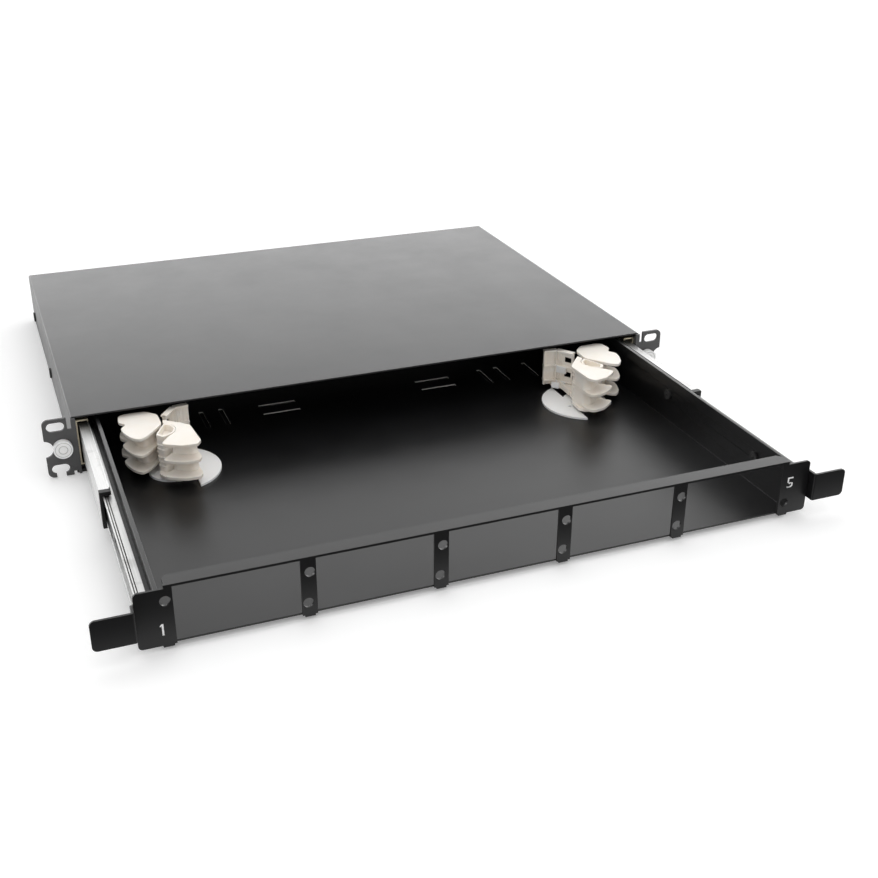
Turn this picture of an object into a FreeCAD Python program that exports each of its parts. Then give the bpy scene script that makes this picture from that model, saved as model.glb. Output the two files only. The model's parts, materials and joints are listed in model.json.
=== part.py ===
import FreeCAD, Part
import math
import os
import Sketcher

# Sliding fibre patch drawer, one rack unit high, 19 inch, in millimetres.
# X runs to the right, Y to the rear and Z up. The origin is midway between the
# brackets, on the face that bolts to the rack, at the underside of the chassis.
# The drawer is modelled pulled out by the length pulled_out.

DRIVING = {
    # chassis of bent sheet
    "bracket_wing": 19.25,
    "chassis_height": 42.8,
    "chassis_rear": 324.0,
    "chassis_front_gap": 0.2,
    "metal": 1.2,
    "shell_bend": 1.6,
    "base_flange": 10.0,
    "base_tongue": 1.0,
    "base_tongue_inset": 22.0,
    "rear_wall_height": 40.2,
    "fit_gap": 0.3,
    # cable entries of the rear wall
    "entry_reach": 150.0,
    "entry_radius": 10.2,
    "grommet_wall": 1.5,
    "grommet_lip": 1.2,
    # screws in the chassis sides
    "side_screw_radius": 1.9,
    "side_screw_head": 4.2,
    "side_screw_cap": 1.4,
    "side_screw_drop": 12.0,
    "side_screw_front": 166.0,
    "side_screw_rear": 304.0,
    # rack brackets, each with the rail that carries a slide
    "rack_mid": 21.85,
    "rack_width": 482.5,
    "bracket_height": 43.5,
    "bracket_metal": 2.0,
    "rail_length": 310.0,
    "rail_height": 35.6,
    "slot_edge": 8.7,
    "slot_rise": 15.875,
    "slot_length": 12.0,
    "slot_width": 6.5,
    "hook_mouth": 6.3,
    "edge_notch_radius": 6.3,
    "edge_notch_depth": 5.8,
    "relief_gap": 0.1,
    "relief_width": 2.7,
    "relief_depth": 8.6,
    "root_drop": 1.6,
    "tab_notch_width": 3.2,
    "tab_notch_height": 2.8,
    "bracket_corner": 4.0,
    # white plug in each bracket
    "plug_edge": 11.75,
    "plug_head_radius": 6.5,
    "plug_head": 4.2,
    "plug_stem_radius": 3.0,
    "plug_stem": 6.0,
    # telescopic slides
    "slide_length": 300.0,
    "outer_start": 2.0,
    "middle_start": 17.0,
    "inner_start": 8.0,
    "middle_length": 283.5,
    "member_metal": 1.2,
    "middle_metal": 1.0,
    "outer_half": 17.0,
    "middle_half": 12.8,
    "inner_half": 8.8,
    "outer_depth": 8.8,
    "middle_depth": 7.0,
    "slide_depth": 11.0,
    "web_gap": 1.0,
    "lip": 0.9,
    "lip_thick": 0.8,
    "ball_radius": 1.4,
    "cage_metal": 0.4,
    "cage_half_thick": 0.3,
    "cage_length": 100.0,
    "outer_cage_mid": 93.75,
    "inner_cage_mid": 14.5,
    "cage_reach": 6.0,
    "bumper_length": 4.2,
    "bumper_half": 12.8,
    "bumper_clear": 10.2,
    "rivet_radius": 2.4,
    "access_radius": 3.4,
    "rivet_first": 30.0,
    # release lever in each inner member
    "lever_front": 102.0,
    "lever_length": 32.0,
    "lever_half": 3.4,
    "lever_thick": 4.9,
    "lever_pin_radius": 1.5,
    "pin_gap": 0.05,
    "lever_eye": 4.0,
    # drawer
    "pulled_out": 229.0,
    "front_closed": 2.0,
    "drawer_depth": 314.5,
    "spacer_thick": 2.6,
    "floor_top": 4.25,
    "wall_top": 38.35,
    "hem": 8.0,
    "rear_lip": 10.0,
    "wall_screw_front": 41.6,
    "wall_screw_pitch": 111.0,
    "wall_screw_rise": 2.5,
    "wall_screw_radius": 2.0,
    "wall_screw_head": 3.6,
    "wall_screw_cap": 1.6,
    "tie_slot_length": 29.0,
    "tie_slot_width": 3.4,
    "tie_rear_y": 285.1,
    "tie_front_y": 269.0,
    "tie_long_y": 276.5,
    "tie_x": 64.5,
    # front frame with five openings
    "frame_metal": 1.5,
    "ear_reach": 11.3,
    "flange_inset": 5.6,
    "flange_top": 41.15,
    "flange_depth": 10.5,
    "flange_chamfer": 3.0,
    "ear_inset": 9.7,
    "ear_step_inset": 5.2,
    "ear_bottom": 3.05,
    "ear_top": 39.0,
    "ear_corner": 2.5,
    "mullion_width": 9.0,
    "tab_width": 6.2,
    "tab_depth": 9.0,
    "clip_hole_radius": 3.1,
    "clip_hole_top": 31.3,
    "clip_hole_bottom": 11.25,
    "clip_hole_shift": 0.8,
    "end_hole_inset": 5.5,
    # handles
    "handle_height": 19.0,
    "handle_gap": 0.6,
    "handle_jog": 11.6,
    "handle_reach": 35.4,
    "handle_forward": 6.0,
    "handle_corner": 3.0,
    "handle_bend": 1.2,
    # fibre guides
    "guide_inset": 45.2,
    "guide_back": 202.0,
    "disc_radius": 33.0,
    "disc_thick": 1.6,
    "disc_chord": 13.0,
    "disc_boss": 17.0,
    "disc_hole_x": 15.6,
    "disc_hole_y": 6.1,
    "disc_hole_radius": 1.3,
    "post_radius": 4.5,
    "ring_radius": 19.0,
    "ring_thick": 2.0,
    "leaf_bottom": 10.45,
    "leaf_pitch": 12.35,
    "leaf_thick": 2.0,
    "guide_wall": 0.78,
    "leaf_corner": 2.0,
    "column_radius": 4.0,
    "hinge_x": 3.0,
    "hinge_y": 12.0,
    "knuckle_radius": 3.5,
    "guide_pin_radius": 1.5,
    "guide_pin_head": 2.6,
    "guide_pin_cap": 0.8,
    "lug_width": 4.0,
    "lug_inset": 0.6,
    "knuckle_low": 9.0,
    "knuckle_mid": 15.3,
    "knuckle_high": 32.7,
    "ladder_thick": 2.6,
    "ladder_post": 3.0,
    "ladder_foot": 4.0,
    "return_thick": 1.6,
    "shelf_thick": 3.6,
    "clip_width": 7.0,
    "clip_depth": 3.0,
    "clip_height": 6.0,
}

doc = FreeCAD.newDocument("fibre_patch_drawer")
dims_sheet = doc.addObject("Spreadsheet::Sheet", "Dims")
for row, (alias, value) in enumerate(DRIVING.items(), start=1):
    dims_sheet.set("A%d" % row, alias)
    dims_sheet.set("B%d" % row, str(value))
    dims_sheet.setAlias("B%d" % row, alias)
doc.recompute()

sub_parts = []


class Size:
    """A length that carries its number and the sheet expression it comes from."""

    def __init__(self, value, text):
        self.value = value
        self.text = text

    def joined(self, other, sign, value):
        return Size(value, "(%s %s %s)" % (self.text, sign, other.text))

    def __add__(self, other):
        other = as_size(other)
        return self.joined(other, "+", self.value + other.value)

    def __radd__(self, other):
        return as_size(other) + self

    def __sub__(self, other):
        other = as_size(other)
        return self.joined(other, "-", self.value - other.value)

    def __rsub__(self, other):
        return as_size(other) - self

    def __mul__(self, other):
        other = as_size(other)
        return self.joined(other, "*", self.value * other.value)

    def __rmul__(self, other):
        return as_size(other) * self

    def __truediv__(self, other):
        other = as_size(other)
        return self.joined(other, "/", self.value / other.value)

    def __neg__(self):
        return self * -1.0


def as_size(number):
    if isinstance(number, Size):
        return number
    return Size(float(number), "(%r)" % float(number))


def dim(alias):
    return Size(DRIVING[alias], "Dims.%s" % alias)


# Places that several pieces share

half_width = dim("rack_width") / 2 - dim("bracket_wing")
chassis_front = dim("chassis_front_gap")
chassis_rear = dim("chassis_rear")
side_inner = half_width - dim("metal")
rear_wall_front = chassis_rear - dim("metal")
rail_outer = side_inner
rail_inner = rail_outer - dim("bracket_metal")
slot_height = dim("rack_mid") + dim("slot_rise")
frame_front = -(dim("front_closed") + dim("pulled_out"))
frame_back = frame_front + dim("frame_metal")
tray_rear = frame_back + dim("drawer_depth")
floor_bottom = dim("floor_top") - dim("metal")
outer_front = dim("outer_start")
middle_front = dim("middle_start") - dim("pulled_out") / 2
inner_front = dim("inner_start") - dim("pulled_out")
slide_inner_face = rail_inner - dim("slide_depth")
drawer_half = slide_inner_face - dim("spacer_thick")
hem_inner = drawer_half - dim("metal") * 2
ear_inner = drawer_half - dim("ear_inset")
opening_pitch = (ear_inner * 2 + dim("mullion_width")) / 5
outer_cage_mid = dim("outer_cage_mid")
inner_cage_mid = -dim("inner_cage_mid")
mid = dim("rack_mid")


# Helpers that draw closed outlines and turn them into solids

AXES = {"XY": (0, 1, 2), "XZ": (0, 2, 1), "YZ": (1, 2, 0)}


def new_body(name):
    body = doc.addObject("PartDesign::Body", name)
    body.Label = name
    sub_parts.append(body)
    return body


def origin_plane(body, plane):
    for feature in body.Origin.OriginFeatures:
        if feature.Role == plane + "_Plane":
            return feature
    raise RuntimeError("no plane " + plane)


def new_sketch(body, name, plane, offset):
    sketch = body.newObject("Sketcher::SketchObject", name)
    sketch.AttachmentSupport = [(origin_plane(body, plane), "")]
    sketch.MapMode = "FlatFace"
    sketch.setExpression("AttachmentOffset.Base.z", offset.text)
    return sketch


def pin_point(sketch, geometry, position, x, y):
    """Hold one point of the sketch at a place worked out from the sheet."""
    for kind, size in (("DistanceX", x), ("DistanceY", y)):
        index = sketch.addConstraint(Sketcher.Constraint(kind, geometry, position, size.value))
        sketch.setExpression("Constraints[%d]" % index, size.text)


def draw_polygon(sketch, corners):
    corners = [(as_size(x), as_size(y)) for x, y in corners]
    vectors = [FreeCAD.Vector(x.value, y.value, 0) for x, y in corners]
    count = len(corners)
    first = sketch.GeometryCount
    lines = [Part.LineSegment(vectors[i], vectors[(i + 1) % count]) for i in range(count)]
    sketch.addGeometry(lines, False)
    for i in range(count):
        following = first + (i + 1) % count
        sketch.addConstraint(Sketcher.Constraint("Coincident", first + i, 2, following, 1))
    for i, (x, y) in enumerate(corners):
        pin_point(sketch, first + i, 1, x, y)


def draw_circle(sketch, x, y, radius):
    x, y, radius = as_size(x), as_size(y), as_size(radius)
    centre = FreeCAD.Vector(x.value, y.value, 0)
    up = FreeCAD.Vector(0, 0, 1)
    index = sketch.addGeometry(Part.Circle(centre, up, radius.value), False)
    pin_point(sketch, index, 3, x, y)
    held = sketch.addConstraint(Sketcher.Constraint("Radius", index, radius.value))
    sketch.setExpression("Constraints[%d]" % held, radius.text)


def draw_slot(sketch, x, y, length, width):
    """A slot with round ends, centred on a point and running along the sketch's x."""
    x, y, radius = as_size(x), as_size(y), width / 2
    reach = (length - width) / 2
    up = FreeCAD.Vector(0, 0, 1)
    arcs = []
    for side in (-1, 1):
        cx = x + reach * side
        circle = Part.Circle(FreeCAD.Vector(cx.value, y.value, 0), up, radius.value)
        start = -side * math.pi / 2
        arc = sketch.addGeometry(Part.ArcOfCircle(circle, start, start + math.pi), False)
        pin_point(sketch, arc, 3, cx, y)
        held = sketch.addConstraint(Sketcher.Constraint("Radius", arc, radius.value))
        sketch.setExpression("Constraints[%d]" % held, radius.text)
        for end in (1, 2):
            sketch.addConstraint(Sketcher.Constraint("Vertical", arc, end, arc, 3))
        arcs.append(arc)
    for end, other in ((2, 1), (1, 2)):
        start = sketch.getPoint(arcs[0], end)
        finish = sketch.getPoint(arcs[1], other)
        line = sketch.addGeometry(Part.LineSegment(start, finish), False)
        sketch.addConstraint(Sketcher.Constraint("Coincident", line, 1, arcs[0], end))
        sketch.addConstraint(Sketcher.Constraint("Coincident", line, 2, arcs[1], other))


def extrude(body, name, plane, low, high, draw, cut=False):
    """Draw on a plane and fill, or cut, between two heights along its normal."""
    low, high = as_size(low), as_size(high)
    start = -high if plane == "XZ" else low
    sketch = new_sketch(body, name + "_sketch", plane, start)
    draw(sketch)
    kind = "PartDesign::Pocket" if cut else "PartDesign::Pad"
    feature = body.newObject(kind, name)
    feature.Profile = sketch
    feature.Refine = False
    feature.Type = "Length"
    feature.Reversed = cut
    feature.setExpression("Length", (high - low).text)
    body.Tip = feature
    return feature


def polygon(corners):
    return lambda sketch: draw_polygon(sketch, corners)


def circles(places, radius):
    def draw(sketch):
        for x, y in places:
            draw_circle(sketch, x, y, radius)
    return draw


def box(x_low, x_high, y_low, y_high):
    return [(x_low, y_low), (x_high, y_low), (x_high, y_high), (x_low, y_high)]


def round_edges(body, name, plane, places, radius):
    """Round the edges along the plane's normal that pass through the given places."""
    doc.recompute()
    base = body.Tip
    u, v = AXES[plane][:2]
    wanted = [(as_size(a).value, as_size(b).value) for a, b in places]
    chosen = []
    for index, edge in enumerate(base.Shape.Edges, start=1):
        if len(edge.Vertexes) != 2:
            continue
        ends = [vertex.Point for vertex in edge.Vertexes]
        if abs(ends[0][u] - ends[1][u]) > 1e-4 or abs(ends[0][v] - ends[1][v]) > 1e-4:
            continue
        for a, b in wanted:
            if abs(ends[0][u] - a) < 1e-3 and abs(ends[0][v] - b) < 1e-3:
                chosen.append("Edge%d" % index)
                break
    fillet = body.newObject("PartDesign::Fillet", name)
    fillet.Base = (base, chosen)
    fillet.setExpression("Radius", radius.text)
    body.Tip = fillet
    return fillet


def cylinder(name, radius, length, place, direction):
    """A round solid that starts at a place and runs along +-X, +-Y or +-Z."""
    solid = doc.addObject("Part::Cylinder", name)
    solid.setExpression("Radius", as_size(radius).text)
    solid.setExpression("Height", as_size(length).text)
    set_place(solid, place, direction)
    return solid


def set_place(solid, place, direction):
    turn = FreeCAD.Rotation(FreeCAD.Vector(0, 0, 1), FreeCAD.Vector(*direction))
    solid.Placement = FreeCAD.Placement(FreeCAD.Vector(0, 0, 0), turn)
    for axis, size in zip("xyz", place):
        solid.setExpression("Placement.Base.%s" % axis, as_size(size).text)


def fuse(name, members, sub_part=True):
    solid = doc.addObject("Part::MultiFuse", name)
    solid.Shapes = members
    solid.Label = name
    if sub_part:
        sub_parts.append(solid)
    return solid


def cut(name, base, tool, sub_part=True):
    solid = doc.addObject("Part::Cut", name)
    solid.Base = base
    solid.Tool = tool
    solid.Label = name
    if sub_part:
        sub_parts.append(solid)
    return solid


def headed_pin(name, radius, head_radius, head, shank, place, direction):
    """A screw or rivet: the place is under the head, the shank runs along the direction."""
    back = tuple(-part for part in direction)
    stem = cylinder(name + "_shank", radius, shank, place, direction)
    cap = cylinder(name + "_head", head_radius, head, place, back)
    return [stem, cap]


# Chassis

def make_top_cover():
    """Top and both sides, one bent sheet, with flanges turned in along the base."""
    body = new_body("top_cover")
    flange = half_width - dim("base_flange")
    low = dim("metal")
    upper = low + dim("metal")
    top = dim("chassis_height")
    under = top - dim("metal")
    right = [(flange, low), (half_width, low), (half_width, top)]
    right_inner = [(side_inner, under), (side_inner, upper), (flange, upper)]
    left = [(-x, z) for x, z in reversed(right)]
    left_inner = [(-x, z) for x, z in reversed(right_inner)]
    outline = right + left + left_inner + right_inner
    extrude(body, "cover_sheet", "XZ", chassis_front, chassis_rear, polygon(outline))
    corners = [(half_width, top), (-half_width, top)]
    round_edges(body, "cover_bends", "XZ", corners, dim("shell_bend"))
    height = mid - dim("side_screw_drop")
    holes = [(dim("side_screw_front"), height), (dim("side_screw_rear"), height)]
    extrude(body, "cover_side_holes", "YZ", -half_width - 1, half_width + 1,
            circles(holes, dim("side_screw_radius")), cut=True)


def make_base_plate():
    """Bottom sheet with the rear wall bent up from it."""
    body = new_body("base_plate")
    tongue = half_width - dim("base_tongue_inset")
    front = -dim("base_tongue")
    outline = [(-half_width, chassis_front), (-tongue, chassis_front), (-tongue, front),
               (tongue, front), (tongue, chassis_front), (half_width, chassis_front),
               (half_width, chassis_rear), (-half_width, chassis_rear)]
    extrude(body, "base_sheet", "XY", 0, dim("metal"), polygon(outline))
    wall_half = side_inner - dim("fit_gap")
    wall_top = dim("metal") + dim("rear_wall_height")
    flange_top = dim("metal") * 2
    flange_half = half_width - dim("base_flange") - dim("fit_gap")
    wall = [(-flange_half, dim("metal")), (flange_half, dim("metal")),
            (flange_half, flange_top + dim("fit_gap")), (wall_half, flange_top + dim("fit_gap")),
            (wall_half, wall_top), (-wall_half, wall_top),
            (-wall_half, flange_top + dim("fit_gap")), (-flange_half, flange_top + dim("fit_gap"))]
    extrude(body, "rear_wall", "XZ", rear_wall_front, chassis_rear, polygon(wall))
    extrude(body, "cable_entries", "XZ", rear_wall_front - 1, chassis_rear + 1,
            circles(entry_places(), dim("entry_radius")), cut=True)


def entry_places():
    return [(dim("entry_reach") * side, mid) for side in (-1, 1)]


def make_cable_grommets():
    """Rubber rings that line the cable entries of the rear wall."""
    body = new_body("cable_grommets")
    inner = dim("entry_radius") - dim("grommet_wall")
    lip = dim("entry_radius") + dim("grommet_wall")
    depth = dim("grommet_lip")

    def ring(outer):
        def draw(sketch):
            for x, z in entry_places():
                draw_circle(sketch, x, z, outer)
                draw_circle(sketch, x, z, inner)
        return draw

    extrude(body, "grommet_necks", "XZ", rear_wall_front, chassis_rear, ring(dim("entry_radius")))
    extrude(body, "grommet_rear_lips", "XZ", chassis_rear, chassis_rear + depth, ring(lip))


def make_bracket(side, hand):
    """Rack bracket: front plate with slot, hook and edge notch, and a long rail."""
    body = new_body("rack_bracket_" + hand)
    outer = dim("rack_width") / 2
    low = mid - dim("bracket_height") / 2
    high = mid + dim("bracket_height") / 2
    thick = dim("bracket_metal")
    extrude(body, "plate", "XZ", -thick, 0,
            polygon(box(rail_inner * side, outer * side, low, high)))
    rail_low = mid - dim("rail_height") / 2
    rail_high = mid + dim("rail_height") / 2
    extrude(body, "rail", "YZ", *ordered(rail_inner * side, rail_outer * side),
            polygon(box(-thick, dim("rail_length"), rail_low, rail_high)))
    slot_x = (outer - dim("slot_edge")) * side
    hook_height = mid - dim("slot_rise")

    def slots(sketch):
        draw_slot(sketch, slot_x, slot_height, dim("slot_length"), dim("slot_width"))
        draw_slot(sketch, slot_x, hook_height, dim("slot_length"), dim("slot_width"))

    extrude(body, "slots", "XZ", -thick - 1, 1, slots, cut=True)
    mouth = dim("hook_mouth") / 2
    extrude(body, "hook_mouth", "XZ", -thick - 1, 1,
            polygon(box(slot_x - mouth, slot_x + mouth, low - 1, hook_height)), cut=True)
    notch_x = (outer + dim("edge_notch_radius") - dim("edge_notch_depth")) * side
    extrude(body, "edge_notch", "XZ", -thick - 1, 1,
            circles([(notch_x, mid)], dim("edge_notch_radius")), cut=True)
    relief = half_width + dim("relief_gap")
    relief_end = relief + dim("relief_width")
    relief_low, root_top = high - dim("relief_depth"), high - dim("root_drop")
    relief_outline = [(rail_inner - 1, root_top), (relief, root_top), (relief, relief_low),
                      (relief_end, relief_low), (relief_end, high + 1), (rail_inner - 1, high + 1)]
    extrude(body, "relief", "XZ", -thick - 1, 1,
            polygon([(x * side, z) for x, z in relief_outline]), cut=True)
    extrude(body, "tab_notch", "XZ", -thick - 1, 1,
            polygon(box((rail_outer - 0.2) * side, (rail_outer + dim("tab_notch_width")) * side,
                        low - 1, low + dim("tab_notch_height"))), cut=True)
    extrude(body, "plug_hole", "XZ", -thick - 1, 1,
            circles([((outer - dim("plug_edge")) * side, mid)], dim("plug_stem_radius")), cut=True)
    height = mid - dim("side_screw_drop")
    holes = [(dim("side_screw_front"), height), (dim("side_screw_rear"), height)]
    extrude(body, "rail_holes", "YZ", *ordered((rail_inner - 1) * side, (rail_outer + 1) * side),
            circles(holes, dim("side_screw_radius")), cut=True)
    extrude(body, "rivet_holes", "YZ", *ordered((rail_inner - 1) * side, (rail_outer + 1) * side),
            circles([(y, mid) for y in outer_rivet_places()], dim("rivet_radius")), cut=True)
    round_edges(body, "outer_corners", "XZ", [(outer * side, high), (outer * side, low)],
                dim("bracket_corner"))
    return body


def ordered(first, second):
    """The two sizes, lower one first."""
    if first.value <= second.value:
        return (first, second)
    return (second, first)


def outer_rivet_places():
    first = outer_front + dim("rivet_first")
    return [first, first + dim("slide_length") - dim("rivet_first") * 2]


def make_plug(side, hand):
    """Round white plug whose head stands in front of the bracket."""
    x = (dim("rack_width") / 2 - dim("plug_edge")) * side
    thick = dim("bracket_metal")
    stem = cylinder("plug_stem_" + hand, dim("plug_stem_radius"), thick + dim("plug_stem"),
                    (x, -thick, mid), (0, 1, 0))
    head = cylinder("plug_head_" + hand, dim("plug_head_radius"), dim("plug_head"),
                    (x, -thick, mid), (0, -1, 0))
    fuse("bracket_plug_" + hand, [stem, head])


def make_side_screws():
    """Screws through the chassis sides into the rails."""
    height = mid - dim("side_screw_drop")
    members = []
    for side, hand in ((-1, "left"), (1, "right")):
        for name in ("side_screw_front", "side_screw_rear"):
            members += headed_pin(name + "_" + hand + "_pin", dim("side_screw_radius"),
                                  dim("side_screw_head"), dim("side_screw_cap"),
                                  half_width - rail_inner, (half_width * side, dim(name), height),
                                  (-side, 0, 0))
    fuse("side_screws", members)


# Telescopic slides

web_outer = rail_inner
web_inner = rail_inner - dim("member_metal")
middle_web_outer = web_inner - dim("web_gap")
middle_web_inner = middle_web_outer - dim("middle_metal")
inner_tip = middle_web_inner - dim("web_gap")
outer_inside = dim("outer_half") - dim("member_metal")
middle_inside = dim("middle_half") - dim("middle_metal")
inner_inside = dim("inner_half") - dim("member_metal")
outer_ball_level = (outer_inside + dim("middle_half")) / 2
inner_ball_level = (middle_inside + dim("inner_half")) / 2
outer_ball_reach = middle_web_outer - dim("cage_reach") / 2 - dim("lip_thick")
inner_ball_reach = inner_tip - dim("lip_thick") - dim("ball_radius") - 0.2


def make_slide_outer(side, hand):
    """Fixed member: a C section with turned lips, riveted to the rail."""
    body = new_body("slide_outer_" + hand)
    tip = web_outer - dim("outer_depth")
    lip_back = tip + dim("lip_thick")
    lip_low = outer_inside - dim("lip")
    half = [(web_outer, dim("outer_half")), (tip, dim("outer_half")), (tip, lip_low),
            (lip_back, lip_low), (lip_back, outer_inside), (web_inner, outer_inside)]
    upper = [(x * side, mid + z) for x, z in half]
    lower = [(x * side, mid - z) for x, z in reversed(half)]
    extrude(body, "section", "XZ", outer_front, outer_front + dim("slide_length"),
            polygon(upper + lower))
    extrude(body, "outer_rivet_holes", "YZ", *ordered((web_inner - 1) * side, (web_outer + 1) * side),
            circles([(y, mid) for y in outer_rivet_places()], dim("rivet_radius")), cut=True)


def make_slide_middle(side, hand):
    """Middle member: a C section that rolls inside the fixed one."""
    body = new_body("slide_middle_" + hand)
    tip = middle_web_outer - dim("middle_depth")
    lip_back = tip + dim("lip_thick")
    half_high = dim("middle_half")
    half = [(middle_web_outer, half_high), (lip_back, half_high), (lip_back, half_high + dim("lip")),
            (tip, half_high + dim("lip")), (tip, middle_inside - dim("lip")),
            (lip_back, middle_inside - dim("lip")), (lip_back, middle_inside),
            (middle_web_inner, middle_inside)]
    upper = [(x * side, mid + z) for x, z in half]
    lower = [(x * side, mid - z) for x, z in reversed(half)]
    extrude(body, "section", "XZ", middle_front, middle_front + dim("middle_length"),
            polygon(upper + lower))
    places = [(middle_front + dim("middle_length") / 2, mid)]
    extrude(body, "access_hole", "YZ", *ordered((middle_web_inner - 1) * side,
                                                 (middle_web_outer + 1) * side),
            circles(places, dim("access_radius")), cut=True)


def make_slide_inner(side, hand):
    """Inner member: a smaller C section that faces the other way, fixed to the drawer."""
    body = new_body("slide_inner_" + hand)
    web_face = slide_inner_face + dim("member_metal")
    lip_back = inner_tip - dim("lip_thick")
    half_high = dim("inner_half")
    half = [(slide_inner_face, half_high), (lip_back, half_high), (lip_back, half_high + dim("lip")),
            (inner_tip, half_high + dim("lip")), (inner_tip, inner_inside),
            (web_face, inner_inside)]
    upper = [(x * side, mid + z) for x, z in half]
    lower = [(x * side, mid - z) for x, z in reversed(half)]
    extrude(body, "section", "XZ", inner_front, inner_front + dim("slide_length"),
            polygon(upper + lower))
    screw_height = mid + dim("wall_screw_rise")
    extrude(body, "inner_screw_holes", "YZ",
            *ordered((slide_inner_face - 1) * side, (web_face + 1) * side),
            circles([(y, screw_height) for y in wall_screw_places()], dim("wall_screw_radius")),
            cut=True)
    extrude(body, "lever_pin_hole", "YZ",
            *ordered((slide_inner_face - 1) * side, (web_face + 1) * side),
            circles([(lever_pin_y(), mid)], dim("lever_pin_radius")), cut=True)


def make_cage(side, hand, which):
    """Ball cage: a thin C strip with seats for a row of balls above and below."""
    outer = which == "outer"
    level = outer_ball_level if outer else inner_ball_level
    web = web_inner if outer else middle_web_inner
    centre = outer_cage_mid if outer else inner_cage_mid
    ball_reach = outer_ball_reach if outer else inner_ball_reach
    web_far = web - dim("fit_gap")
    web_near = web_far - dim("cage_metal")
    tip = ball_reach - dim("ball_radius") * 0.5
    thick = dim("cage_half_thick")
    body = new_body("ball_cage_%s_%s" % (which, hand))
    half = [(web_far, level + thick), (tip, level + thick), (tip, level - thick),
            (web_near, level - thick)]
    upper = [(x * side, mid + z) for x, z in half]
    lower = [(x * side, mid - z) for x, z in reversed(half)]
    start = centre - dim("cage_length") / 2
    extrude(body, "strip", "XZ", start, start + dim("cage_length"), polygon(upper + lower))
    places = [(ball_reach * side, y) for y in ball_places(centre)]
    extrude(body, "ball_holes", "XY", mid - level - 1, mid + level + 1,
            circles(places, dim("ball_radius") + dim("pin_gap")), cut=True)


def ball_places(centre):
    reach = dim("cage_length") / 2 - dim("ball_radius") * 3
    return [centre + reach * share for share in (-1, 0, 1)]


def make_bumper(side, hand):
    """Black end stop on the front of the middle member."""
    body = new_body("slide_bumper_" + hand)
    outer = middle_web_outer + dim("fit_gap")
    tip = middle_web_outer - dim("middle_depth")
    cheek = inner_tip + dim("fit_gap")
    high = dim("bumper_half")
    clear = dim("bumper_clear")
    half = [(outer, high), (tip, high), (tip, clear), (cheek, clear)]
    upper = [(x * side, mid + z) for x, z in half]
    lower = [(x * side, mid - z) for x, z in reversed(half)]
    extrude(body, "bumper_section", "XZ", middle_front - dim("bumper_length"), middle_front,
            polygon(upper + lower))


def make_outer_rivets():
    """Flush rivets that hold the fixed members to the rails."""
    members = []
    for side, hand in ((-1, "left"), (1, "right")):
        for index, y in enumerate(outer_rivet_places()):
            members.append(cylinder("outer_rivet_%s_%d" % (hand, index), dim("rivet_radius"),
                                    rail_outer - web_inner, (web_inner * side, y, mid),
                                    (side, 0, 0)))
    fuse("outer_slide_rivets", members)


# Drawer

def wall_screw_places():
    first = frame_front + dim("wall_screw_front")
    return [first, first + dim("wall_screw_pitch")]


def lever_pin_y():
    return inner_front + dim("lever_front") - dim("lever_length") / 2


def make_drawer_tray():
    """Floor and both walls in one sheet, the wall tops folded in, a low rear lip."""
    body = new_body("drawer_tray")
    outer = drawer_half
    wall_inner = outer - dim("metal")
    top = dim("wall_top")
    hem_low = top - dim("hem")
    right = [(outer, floor_bottom), (outer, top), (hem_inner, top), (hem_inner, hem_low),
             (wall_inner, hem_low), (wall_inner, dim("floor_top"))]
    left = [(-x, z) for x, z in reversed(right)]
    extrude(body, "drawer_section", "XZ", frame_back, tray_rear, polygon(right + left))
    bends = [(outer, floor_bottom), (-outer, floor_bottom)]
    round_edges(body, "drawer_bends", "XZ", bends, dim("metal"))
    lip_top = dim("floor_top") + dim("rear_lip")
    extrude(body, "rear_lip", "XZ", tray_rear - dim("metal"), tray_rear,
            polygon(box(-wall_inner, wall_inner, floor_bottom, lip_top)))
    extrude(body, "tie_slots_across", "XY", floor_bottom - 1, dim("floor_top") + 1,
            draw_cross_slots, cut=True)
    extrude(body, "tie_slots_along", "XY", floor_bottom - 1, dim("floor_top") + 1,
            draw_long_slots, cut=True)
    screw_height = mid + dim("wall_screw_rise")
    extrude(body, "wall_screw_holes", "YZ", -outer - 1, outer + 1,
            circles([(y, screw_height) for y in wall_screw_places()], dim("wall_screw_radius")),
            cut=True)


def draw_cross_slots(sketch):
    long, wide = dim("tie_slot_length") / 2, dim("tie_slot_width") / 2
    for side in (-1, 1):
        for back in (dim("tie_rear_y"), dim("tie_front_y")):
            y = frame_front + back
            draw_polygon(sketch, box(dim("tie_x") * side - long, dim("tie_x") * side + long,
                                     y - wide, y + wide))


LONG_SLOT_REACH = (107.7, 122.8, 148.4)


def draw_long_slots(sketch):
    long, wide = dim("tie_slot_length") / 2, dim("tie_slot_width") / 2
    for side in (-1, 1):
        for reach in LONG_SLOT_REACH:
            x, y = as_size(reach) * side, frame_front + dim("tie_long_y")
            draw_polygon(sketch, box(x - wide, x + wide, y - long, y + long))


def mullion_places():
    return [opening_pitch * (index - 1.5) for index in range(4)]


def tab_middle():
    return ear_inner + dim("mullion_width") / 2


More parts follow.
